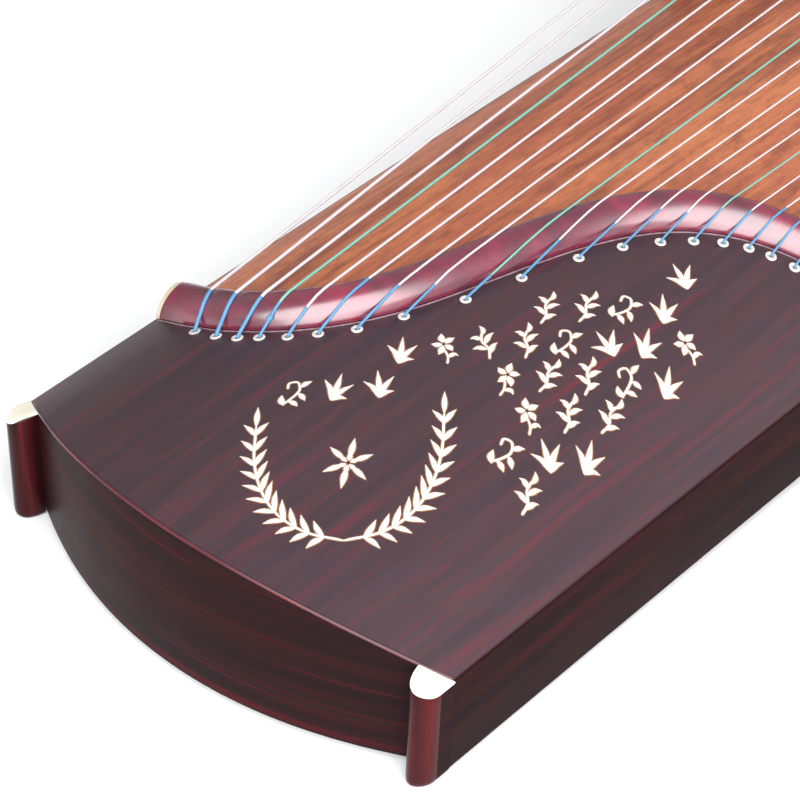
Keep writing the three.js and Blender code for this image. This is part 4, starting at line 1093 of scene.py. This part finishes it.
WRAP = {21: 25.2, 20: 26.2, 19: 26.0, 18: 22.3, 17: 19.1, 16: 41.7, 15: 33.0, 14: 25.0, 13: 21.0, 12: 32.0, 11: 30.2, 10: 31.8,
        9: 23.2, 8: 24.6, 7: 24.6, 6: 33.0, 5: 27.0, 4: 24.5, 3: 26.5, 2: 25.0, 1: 28.0}
wrap_r = lambda i: max(string_r(i) + 0.09, 0.5 * (2.1 if i > 18 else 1.75 if i > 14 else 1.6 if i > 11 else 1.4))
wraps = []
for i in range(21, 0, -1):
    n = 21 - i
    g, (_, bx, by, h, btop) = np.array(HOLES[n], float), BRIDGES[n]
    b = np.array([bx, by])
    dirn = (b - g) / np.linalg.norm(b - g)
    gz = float(top_z(*g))
    r = string_r(i)
    # the string bends a little sideways where it crosses the crest of the rear bridge
    tc = max(range(2, 150), key=lambda t: ridge_height(*(g + dirn * t)))
    c = g + dirn * tc + np.array([-dirn[1], dirn[0]]) * KINK[n]
    L1, L2 = float(np.linalg.norm(c - g)), float(np.linalg.norm(b - c))
    at = lambda t, g=g, b=b, c=c, L1=L1, L2=L2: g + (c - g) * t / L1 if t <= L1 else c + (b - c) * (t - L1) / L2
    pts = [[0, gz + 0.9]]
    for t in sorted([float(k) for k in range(1, 150)] + [L1]):
        q = at(t)
        rh = ridge_height(*q)
        if rh > 0:
            pts.append([t, float(top_z(*q)) + rh + 0.45 + r])
    pts.append([L1 + L2, btop + r - 0.1])
    line = [[g[0], g[1], gz - 14.0]] + [[*at(t), z] for t, z in taut(pts)]
    tail = soften(line[:3], 2.6, 5)
    tail = np.vstack([tail[:-1], np.array(line[2:])])
    mat = string_green if i in (3, 8, 13, 18) else string_white
    P, s = resample(tail, 0, float(np.sum(np.linalg.norm(np.diff(tail, axis=0), axis=1))), 25.0)
    o = ring_piece(f"string_{i:02d}_tail", tube(P, r, 12), mat, 60)
    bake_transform(o)
    # head side
    y = string_y(i)
    pz = float(floor_z(PIN_ROWS[i % 3], y + 3.4))
    H = [[bx, by, btop + r - 0.1], [640, y, float(top_z(640, y)) + 20.25 + r], [644.2, y, float(top_z(644.2, y)) + 20.35 + r],
         [649.2, y, float(top_z(649.2, y)) + 18.1 + r], [HOLE_X - 0.6, y, float(top_z(HOLE_X, y)) + 0.8], [HOLE_X + 0.6, y, float(top_z(HOLE_X, y)) - 7.5],
         [PIN_ROWS[i % 3], y + 3.4 - 2.85 - r, pz + 10.8 + r]]
    Hs = np.vstack([[H[0]], soften(H[1:], 1.6, 4)])
    P, s = resample(Hs, 0, float(np.sum(np.linalg.norm(np.diff(Hs, axis=0), axis=1))), 25.0)
    o = ring_piece(f"string_{i:02d}_head", tube(P, r, 12), mat, 60)
    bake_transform(o)
    # blue thread wound over the string, from inside the bushing
    full = tail
    s0 = 13.0
    P, s = resample(full, s0 - 3.0, s0 + 1.4 + WRAP[i], 0.34)
    wr = wrap_r(i)
    pitch = 1.9
    lump = (s0 + 13.0) if i == 18 else None

    def twist(k, a, s=s, wr=wr, pitch=pitch, lump=lump, e=s[-1]):
        f = 0.13 * abs(math.cos((a - 2 * math.pi * s[k] / pitch / 1.0) * 1.0))
        end = max(0.0, 1 - (e - s[k]) / 1.2)
        k2 = 0.9 * math.exp(-((s[k] - lump) / 1.8) ** 2) if lump else 0.0
        return f - 0.13 - 0.2 * end * end + k2

    wraps.append(tube(P, wr + 0.03, 12, twist))
put(many("string_thread_wraps", wraps, wrap_blue, 60), "body", "string_wrap")

# ----------------------------------------------------------- bushings, felt
ring_sec = [(1.32, -6.5), (1.78, -6.5), (1.78, -0.05), (3.15, -0.05), (3.32, 0.12), (3.3, 0.45), (3.0, 0.72), (2.5, 0.85), (1.95, 0.8), (1.5, 0.6), (1.34, 0.2)]
bush = []
for x, y in HOLES:
    e = 1.0
    z0 = float(top_z(x, y))
    gx = float(top_z(x + e, y) - top_z(x - e, y)) / (2 * e)
    gy = float(top_z(x, y + e) - top_z(x, y - e)) / (2 * e)
    L = lathe(ring_sec, 32, x, y, z0)
    L[:, :, 2] += gx * (L[:, :, 0] - x) + gy * (L[:, :, 1] - y)
    bush.append(L)
put(torus_like("string_bushings", bush, bushing, 50), "body", "ivory_inlay")
eyelet = [(1.7, -5.0), (2.2, -5.0), (2.2, 0.05), (3.3, 0.05), (3.4, 0.3), (3.1, 0.6), (2.4, 0.7), (1.85, 0.55), (1.7, 0.2)]
eyes = []
for i in range(1, 22):
    y = string_y(i)
    z0 = float(top_z(HOLE_X, y))
    gy = float(top_z(HOLE_X, y + 1) - top_z(HOLE_X, y - 1)) / 2
    L = lathe(eyelet, 26, HOLE_X, y, z0)
    L[:, :, 2] += gy * (L[:, :, 1] - y)
    eyes.append(L)
put(torus_like("head_eyelets", eyes, brass, 50), "body", "hinge_brass")

R = []
rng = np.random.default_rng(5)
fsec = rounded([[652.3, 1.0], [658.5, 1.0], [658.5, 9.4], [652.3, 13.0]], [0.5, 0.5, 1.2, 1.2], 4)
for y in np.linspace(-160, 148, 240):
    j = rng.normal(0, 0.07, (len(fsec), 2))
    R.append([(x + a, y, float(top_z(x, y)) + h + b) for (x, h), (a, b) in zip(fsec, j)])
felt_bar = ring_piece("string_felt_strip", R, felt, 60)
put(felt_bar, "body", "felt", "string_set")

# -------------------------------------------------------------------- inlay
PLANT = [["s",1.6,[[-758.2,-67.7],[-768.3,-52.7],[-770.8,-36.8],[-765.6,-20.0],[-752.9,-2.1],[-732.5,16.6]]],["l",3.3,[[-764.2,-60.3],[-763.1,-55.1],
  [-760.6,-49.9]]],["l",3.3,[[-764.2,-60.3],[-769.5,-59.0],[-775.5,-59.0]]],["l",3.3,[[-767.8,-53.9],[-765.9,-48.5],[-762.5,-43.2]]],["l",3.3,
  [[-767.8,-53.9],[-772.8,-51.9],[-778.7,-51.2]]],["l",3.3,[[-770.0,-47.3],[-767.2,-41.7],[-762.9,-36.5]]],["l",3.3,[[-770.0,-47.3],[-774.6,-44.5],
  [-780.2,-43.0]]],["l",3.3,[[-770.9,-40.5],[-767.0,-35.0],[-761.9,-30.0]]],["l",3.3,[[-770.9,-40.5],[-774.7,-36.9],[-779.9,-34.4]]],["l",3.3,
  [[-770.4,-33.5],[-765.5,-28.2],[-759.5,-23.6]]],["l",3.3,[[-770.4,-33.5],[-773.3,-29.1],[-777.8,-25.7]]],["l",3.3,[[-768.5,-26.4],[-762.8,-21.5],
  [-756.1,-17.6]]],["l",3.3,[[-768.5,-26.4],[-770.4,-21.3],[-773.9,-17.1]]],["l",3.3,[[-765.2,-19.1],[-759.1,-14.9],[-752.3,-11.9]]],["l",3.3,
  [[-765.2,-19.1],[-766.0,-13.8],[-768.5,-9.1]]],["l",3.3,[[-760.5,-11.6],[-754.2,-8.2],[-747.5,-5.9]]],["l",3.3,[[-760.5,-11.6],[-760.4,-6.2],
  [-761.9,-1.2]]],["l",3.3,[[-754.5,-4.0],[-748.2,-1.2],[-741.6,0.4]]],["l",3.3,[[-754.5,-4.0],[-753.6,1.5],[-754.2,6.6]]],["l",3.3,[[-747.1,3.9],
  [-740.9,6.0],[-734.5,7.0]]],["l",3.3,[[-747.1,3.9],[-745.6,9.2],[-745.5,14.3]]],["l",3.3,[[-738.3,11.9],[-732.2,13.5],[-726.2,14.0]]],["l",3.3,
  [[-738.3,11.9],[-736.3,17.0],[-735.7,22.1]]],["l",3.3,[[-732.5,16.6],[-727.2,21.2],[-721.0,26.5]]],["s",1.6,[[-758.2,-67.7],[-740.2,-75.9],[-721.2,
  -77.8],[-701.2,-73.2],[-680.2,-62.3],[-658.1,-44.9]]],["l",3.3,[[-749.3,-72.6],[-747.7,-77.0],[-747.6,-82.1]]],["l",3.3,[[-749.3,-72.6],[-743.2,
  -71.6],[-736.9,-69.4]]],["l",3.3,[[-741.6,-75.5],[-739.2,-79.7],[-738.2,-84.7]]],["l",3.3,[[-741.6,-75.5],[-735.2,-73.9],[-728.9,-71.0]]],["l",3.3,
  [[-733.7,-77.3],[-730.4,-81.1],[-728.4,-85.8]]],["l",3.3,[[-733.7,-77.3],[-727.2,-74.8],[-721.0,-71.2]]],["l",3.3,[[-725.6,-77.9],[-721.3,-81.1],
  [-718.3,-85.4]]],["l",3.3,[[-725.6,-77.9],[-719.1,-74.6],[-713.2,-70.2]]],["l",3.3,[[-717.3,-77.4],[-712.0,-79.8],[-707.9,-83.5]]],["l",3.3,
  [[-717.3,-77.4],[-711.1,-73.2],[-705.7,-68.1]]],["l",3.3,[[-708.9,-75.7],[-702.8,-77.2],[-697.7,-80.1]]],["l",3.3,[[-708.9,-75.7],[-703.1,-70.8],
  [-698.5,-65.2]]],["l",3.3,[[-700.2,-72.8],[-693.8,-73.4],[-688.2,-75.4]]],["l",3.3,[[-700.2,-72.8],[-695.4,-67.6],[-691.8,-61.9]]],["l",3.3,
  [[-691.4,-68.8],[-684.9,-68.6],[-678.9,-69.8]]],["l",3.3,[[-691.4,-68.8],[-687.4,-63.5],[-684.7,-57.8]]],["l",3.3,[[-682.3,-63.6],[-675.9,-62.8],
  [-669.8,-63.3]]],["l",3.3,[[-682.3,-63.6],[-679.1,-58.3],[-677.4,-52.7]]],["l",3.3,[[-673.1,-57.3],[-666.8,-56.0],[-660.7,-55.8]]],["l",3.3,
  [[-673.1,-57.3],[-670.6,-52.1],[-669.6,-46.7]]],["l",3.3,[[-663.7,-49.8],[-657.7,-48.1],[-651.6,-47.5]]],["l",3.3,[[-663.7,-49.8],[-661.8,-44.7],
  [-661.3,-39.6]]],["l",3.3,[[-658.1,-44.9],[-652.8,-40.4],[-646.6,-35.1]]],["l",3.6,[[-717.4,-36.2],[-712.0,-38.0],[-706.7,-39.8]]],["l",3.6,
  [[-717.1,-33.4],[-711.0,-29.7],[-705.0,-26.0]]],["l",3.6,[[-719.8,-32.5],[-719.1,-27.0],[-718.4,-21.5]]],["l",3.6,[[-722.8,-34.3],[-728.2,-32.5],
  [-733.6,-30.7]]],["l",3.6,[[-723.1,-37.1],[-729.2,-40.8],[-735.3,-44.5]]],["l",3.6,[[-720.5,-38.0],[-721.1,-43.5],[-721.8,-49.0]]],["l",3.0,
  [[-718.9,-35.6],[-716.6,-36.4],[-714.3,-37.2]]],["l",3.0,[[-718.8,-34.4],[-716.2,-32.9],[-713.5,-31.3]]],["l",3.0,[[-720.0,-34.1],[-719.7,-31.7],
  [-719.4,-29.3]]],["l",3.0,[[-721.3,-34.9],[-723.6,-34.1],[-725.9,-33.3]]],["l",3.0,[[-721.4,-36.0],[-724.1,-37.6],[-726.7,-39.2]]],["l",3.0,
  [[-720.3,-36.4],[-720.6,-38.8],[-720.9,-41.2]]]]
SPRIGS = [[-664.8,-106.8],[-653.9,-83.2],[-636.9,-97.3],[-619.9,-111.3],[-625.9,-73.7],[-608.9,-87.7],[-591.9,-101.8],[-700.0,20.3],[-683.0,6.2],
  [-666.0,-7.9],[-615.0,-50.1],[-598.0,-64.1],[-581.0,-78.2],[-564.0,-92.3],[-547.0,-106.4],[-638.1,1.7],[-621.1,-12.4],[-604.1,-26.5],[-587.0,-40.5],
  [-570.0,-54.6],[-553.0,-68.7],[-536.0,-82.8],[-519.0,-96.8],[-559.1,-31.0],[-542.1,-45.1],[-525.1,-59.2],[-508.1,-73.2],[-480.1,-63.7]]
EX, EU = np.array([0.405, -0.335]), np.array([0.54, 0.46])   # sprigs lean as the panel is looked at from the tail corner


def ribbon(kind, width, pts, grow=0.0, rise=0.0, steps=None):
    C = spline(np.array(pts, float), 7 if kind != "leaf" else 6)
    s = np.concatenate([[0], np.cumsum(np.linalg.norm(np.diff(C, axis=0), axis=1))])
    u = s / s[-1]
    if kind == "leaf":
        w = 1.12 * np.sin(math.pi * np.clip(u * 0.95 + 0.04, 0, 1)) ** 1.05 * (1 - 0.3 * u) + 0.04
    elif kind == "blade":
        w = np.minimum(np.minimum(1, 0.35 + u * 2.2), (1 - u) ** 0.7 * 1.25 + 0.06)
    else:
        w = np.minimum(1, np.minimum(0.45 + u * s[-1] / width, 0.45 + (1 - u) * s[-1] / width))
    w = width * w / 2 + grow
    T = np.gradient(C, axis=0)
    T /= np.linalg.norm(T, axis=1)[:, None]
    N = np.stack([-T[:, 1], T[:, 0]], 1)
    if grow:
        C = C.copy()
        C[0] -= T[0] * grow
        C[-1] += T[-1] * grow
    R = []
    for c, nn, ww in zip(C, N, w):
        ring = []
        for a, z in ((-1, -0.3), (-1, 0.05), (-0.72, 0.14), (0, 0.2), (0.72, 0.14), (1, 0.05), (1, -0.3)):
            x, y = c[0] + nn[0] * a * ww, c[1] + nn[1] * a * ww
            ring.append((x, y, float(top_z(x, y)) + z + (rise if z > 0 else 0)))
        R.append(ring)
    return np.array(R)


strokes = [({"l": "leaf", "b": "blade", "s": "stem"}[k], w * (1.05 if k == "l" else 1.0), p) for k, w, p in PLANT]
rs = random.Random(7)


def sprig(cx, cy, kind, size):
    """Small leaf spray, bud or blossom, upright as seen over the tail corner."""
    out = []

    def P(u, v, a=0.0):
        c, s_ = math.cos(tilt), math.sin(tilt)
        u, v = u * c - v * s_, u * s_ + v * c
        q = np.array([cx, cy]) + size * u * EX + size * v * EU
        return (float(q[0]), float(q[1]))

    tilt = rs.uniform(-0.5, 0.5)
    if kind == 0:      # stem with paired leaves
        out.append(("stem", 1.3, [P(-2, -12), P(1, -4), P(-1, 4), P(2, 11)]))
        for v, sgn, ln in ((-8, 1, 9), (-4, -1, 10), (1, 1, 10), (5, -1, 8)):
            out.append(("leaf", 2.9, [P(0, v), P(sgn * ln * 0.55, v + 4.5), P(sgn * ln, v + 5.5)]))
        out.append(("leaf", 2.6, [P(2, 9), P(4, 13), P(3, 17)]))
    elif kind == 1:    # five-petal blossom on a short stem
        for k in range(5):
            a = 2 * math.pi * k / 5 + 0.4
            out.append(("leaf", 3.5, [P(1.4 * math.cos(a), 3 + 1.4 * math.sin(a)), P(5.2 * math.cos(a + 0.12), 3 + 5.2 * math.sin(a + 0.12)), P(9.4 * math.cos(a), 3 + 9.4 * math.sin(a))]))
        out.append(("stem", 1.2, [P(0, -2), P(2, -8), P(1, -14)]))
        out.append(("leaf", 2.6, [P(2, -9), P(7, -7), P(10, -9)]))
    elif kind == 2:    # three long leaves from one foot
        for a, ln in ((-0.75, 19), (-0.15, 23), (0.5, 20), (1.1, 12)):
            out.append(("leaf", 3.1, [P(0, -11), P(ln * 0.5 * math.sin(a * 0.7), -11 + ln * 0.5 * math.cos(a * 0.7)), P(ln * math.sin(a), -11 + ln * math.cos(a))]))
    else:              # curling tendril with buds
        out.append(("stem", 1.3, [P(-9, -9), P(-3, -5), P(3, 2), P(1, 9), P(-5, 9), P(-6, 4)]))
        for u, v, a in ((-5, -7, -0.6), (2, -1, -0.9), (4, 4, 0.5)):
            out.append(("leaf", 3.0, [P(u, v), P(u + 4 * math.cos(a), v + 4 * math.sin(a) + 1), P(u + 9 * math.cos(a), v + 9 * math.sin(a))]))
        out.append(("leaf", 3.4, [P(-8, -10), P(-10, -6), P(-10, -1)]))
    return out


for k, (cx, cy) in enumerate(SPRIGS):
    near = min(math.hypot(cx - a, cy - b) for a, b in SPRIGS if (a, b) != (cx, cy))
    size = min(1.32, max(0.95, near / 15.5))
    strokes += [(kk, w * 1.22, pts) for kk, w, pts in sprig(cx, cy, (k * 7 + k // 3) % 4, size)]
put(many("panel_inlay_edge", [ribbon(k, w, p, 0.28, -0.03) for k, w, p in strokes], gold_line, 50), "body", "ivory_inlay")
put(many("panel_inlay_shell", [ribbon(k, w, p) for k, w, p in strokes], shell, 50), "body", "ivory_inlay")

# generic lid ornament: a thin shell line round the lid
def lid_line(inset, width):
    pts = []
    x0, x1 = LID_X0 + inset, LID_X1 - inset - 14
    for y in np.linspace(-1, 1, 60):
        pts.append((x0, y * (half_w(x0) - 14 - inset)))
    for x in np.linspace(x0, x1, 16)[1:-1]:
        pts.append((x, half_w(x) - 14 - inset))
    for y in np.linspace(1, -1, 60):
        pts.append((x1, y * (half_w(x1) - 14 - inset)))
    for x in np.linspace(x1, x0, 16)[1:-1]:
        pts.append((x, -(half_w(x) - 14 - inset)))
    pts = np.array(pts)
    T = np.roll(pts, -1, 0) - np.roll(pts, 1, 0)
    T /= np.linalg.norm(T, axis=1)[:, None]
    N = np.stack([-T[:, 1], T[:, 0]], 1)
    R = []
    for c, nn in zip(pts, N):
        R.append([(c[0] + nn[0] * a * width, c[1] + nn[1] * a * width, float(top_z(*(c + nn * a * width))) + z) for a, z in ((-0.5, -0.3), (-0.5, 0.05), (0, 0.12), (0.5, 0.05), (0.5, -0.3))])
    return np.array(R)


put(torus_like("lid_inlay_line", [lid_line(9, 1.4)], shell, 50), "lid", "ivory_inlay")

# ---------------------------------------------------- floor, light, world
me = bpy.data.meshes.new("floor")
me.from_pydata([(-9, -9, -0.0004), (9, -9, -0.0004), (9, 9, -0.0004), (-9, 9, -0.0004)], [], [(0, 1, 2, 3)])
floor = link("floor", me)
fm = Mat("floor_paper", IOR=1.3)
fm.color(fm.mix(fm.ramp(fm.noise(fm.at((1, 1, 1)), 3.0, 2.0), (0.3, 0.0), (0.7, 1.0)), (0.70, 0.70, 0.70, 1), (0.73, 0.73, 0.73, 1)))
fm.b.inputs["Roughness"].default_value = 0.9
me.materials.append(fm.m)

world = bpy.data.worlds.new("studio")
scene.world = world
world.use_nodes = True
nt = world.node_tree
nt.nodes.clear()
wo, bg = nt.nodes.new("ShaderNodeOutputWorld"), nt.nodes.new("ShaderNodeBackground")
tc, sep, rp = nt.nodes.new("ShaderNodeTexCoord"), nt.nodes.new("ShaderNodeSeparateXYZ"), nt.nodes.new("ShaderNodeValToRGB")
dot, rq, mul = nt.nodes.new("ShaderNodeVectorMath"), nt.nodes.new("ShaderNodeValToRGB"), nt.nodes.new("ShaderNodeMix")
nt.links.new(tc.outputs["Generated"], sep.inputs[0])
nt.links.new(sep.outputs["Z"], rp.inputs[0])
dot.operation = "DOT_PRODUCT"
nt.links.new(tc.outputs["Generated"], dot.inputs[0])
dot.inputs[1].default_value = (0.57, 0.80, -0.18)
nt.links.new(dot.outputs["Value"], rq.inputs[0])
dot2, rs2, mul2 = nt.nodes.new("ShaderNodeVectorMath"), nt.nodes.new("ShaderNodeValToRGB"), nt.nodes.new("ShaderNodeMix")
dot2.operation = "DOT_PRODUCT"
nt.links.new(tc.outputs["Generated"], dot2.inputs[0])
dot2.inputs[1].default_value = (-0.35, 0.75, 0.56)
nt.links.new(dot2.outputs["Value"], rs2.inputs[0])
for q in (mul, mul2):
    q.data_type, q.blend_type = "RGBA", "MULTIPLY"
    q.inputs[0].default_value = 1.0
nt.links.new(rp.outputs[0], mul.inputs[6])
nt.links.new(rq.outputs[0], mul.inputs[7])
nt.links.new(mul.outputs[2], mul2.inputs[6])
nt.links.new(rs2.outputs[0], mul2.inputs[7])
nt.links.new(mul2.outputs[2], bg.inputs["Color"])
nt.links.new(bg.outputs[0], wo.inputs[0])
e = rp.color_ramp.elements
e[0].position, e[0].color = 0.0, (0.80, 0.80, 0.80, 1)
e[1].position, e[1].color = 1.0, (0.5, 0.5, 0.52, 1)
for p, c in ((0.45, 0.82), (0.72, 0.72)):
    k = e.new(p)
    k.color = (c, c, c, 1)
e = rq.color_ramp.elements
e[0].position, e[0].color = 0.56, (1, 1, 1, 1)
e[1].position, e[1].color = 0.92, (0.27, 0.27, 0.27, 1)
e = rs2.color_ramp.elements
e[0].position, e[0].color = 0.52, (1, 1, 1, 1)
e[1].position, e[1].color = 0.9, (0.95, 0.95, 0.95, 1)
bg.inputs["Strength"].default_value = 0.86


def area(name, at, to, size, power, color=(1, 1, 1)):
    """Rectangular light at `at` facing `to`, its first side level with the X axis."""
    l = bpy.data.lights.new(name, "AREA")
    l.shape, l.size, l.size_y, l.energy, l.color = "RECTANGLE", size[0], size[1], power, color
    o = bpy.data.objects.new(name, l)
    scene.collection.objects.link(o)
    zv = (Vector(at) - Vector(to)).normalized()
    xv = Vector((1, 0, 0)) - zv * zv.x
    xv.normalize()
    yv = zv.cross(xv)
    o.matrix_world = Matrix(((xv.x, yv.x, zv.x, at[0]), (xv.y, yv.y, zv.y, at[1]), (xv.z, yv.z, zv.z, at[2]), (0, 0, 0, 1)))
    return o


area("softbox", (-1.98, -1.30, 1.36), (-0.6, 0.0, 0.1), (3.5, 3.2), 222, (0.985, 0.99, 1.0))
area("head_fill", (2.4, -1.4, 2.0), (0.4, 0, 0), (1.6, 1.2), 8)

scene.view_settings.view_transform = "Standard"
scene.view_settings.look = "None"
scene.view_settings.exposure = 0.0
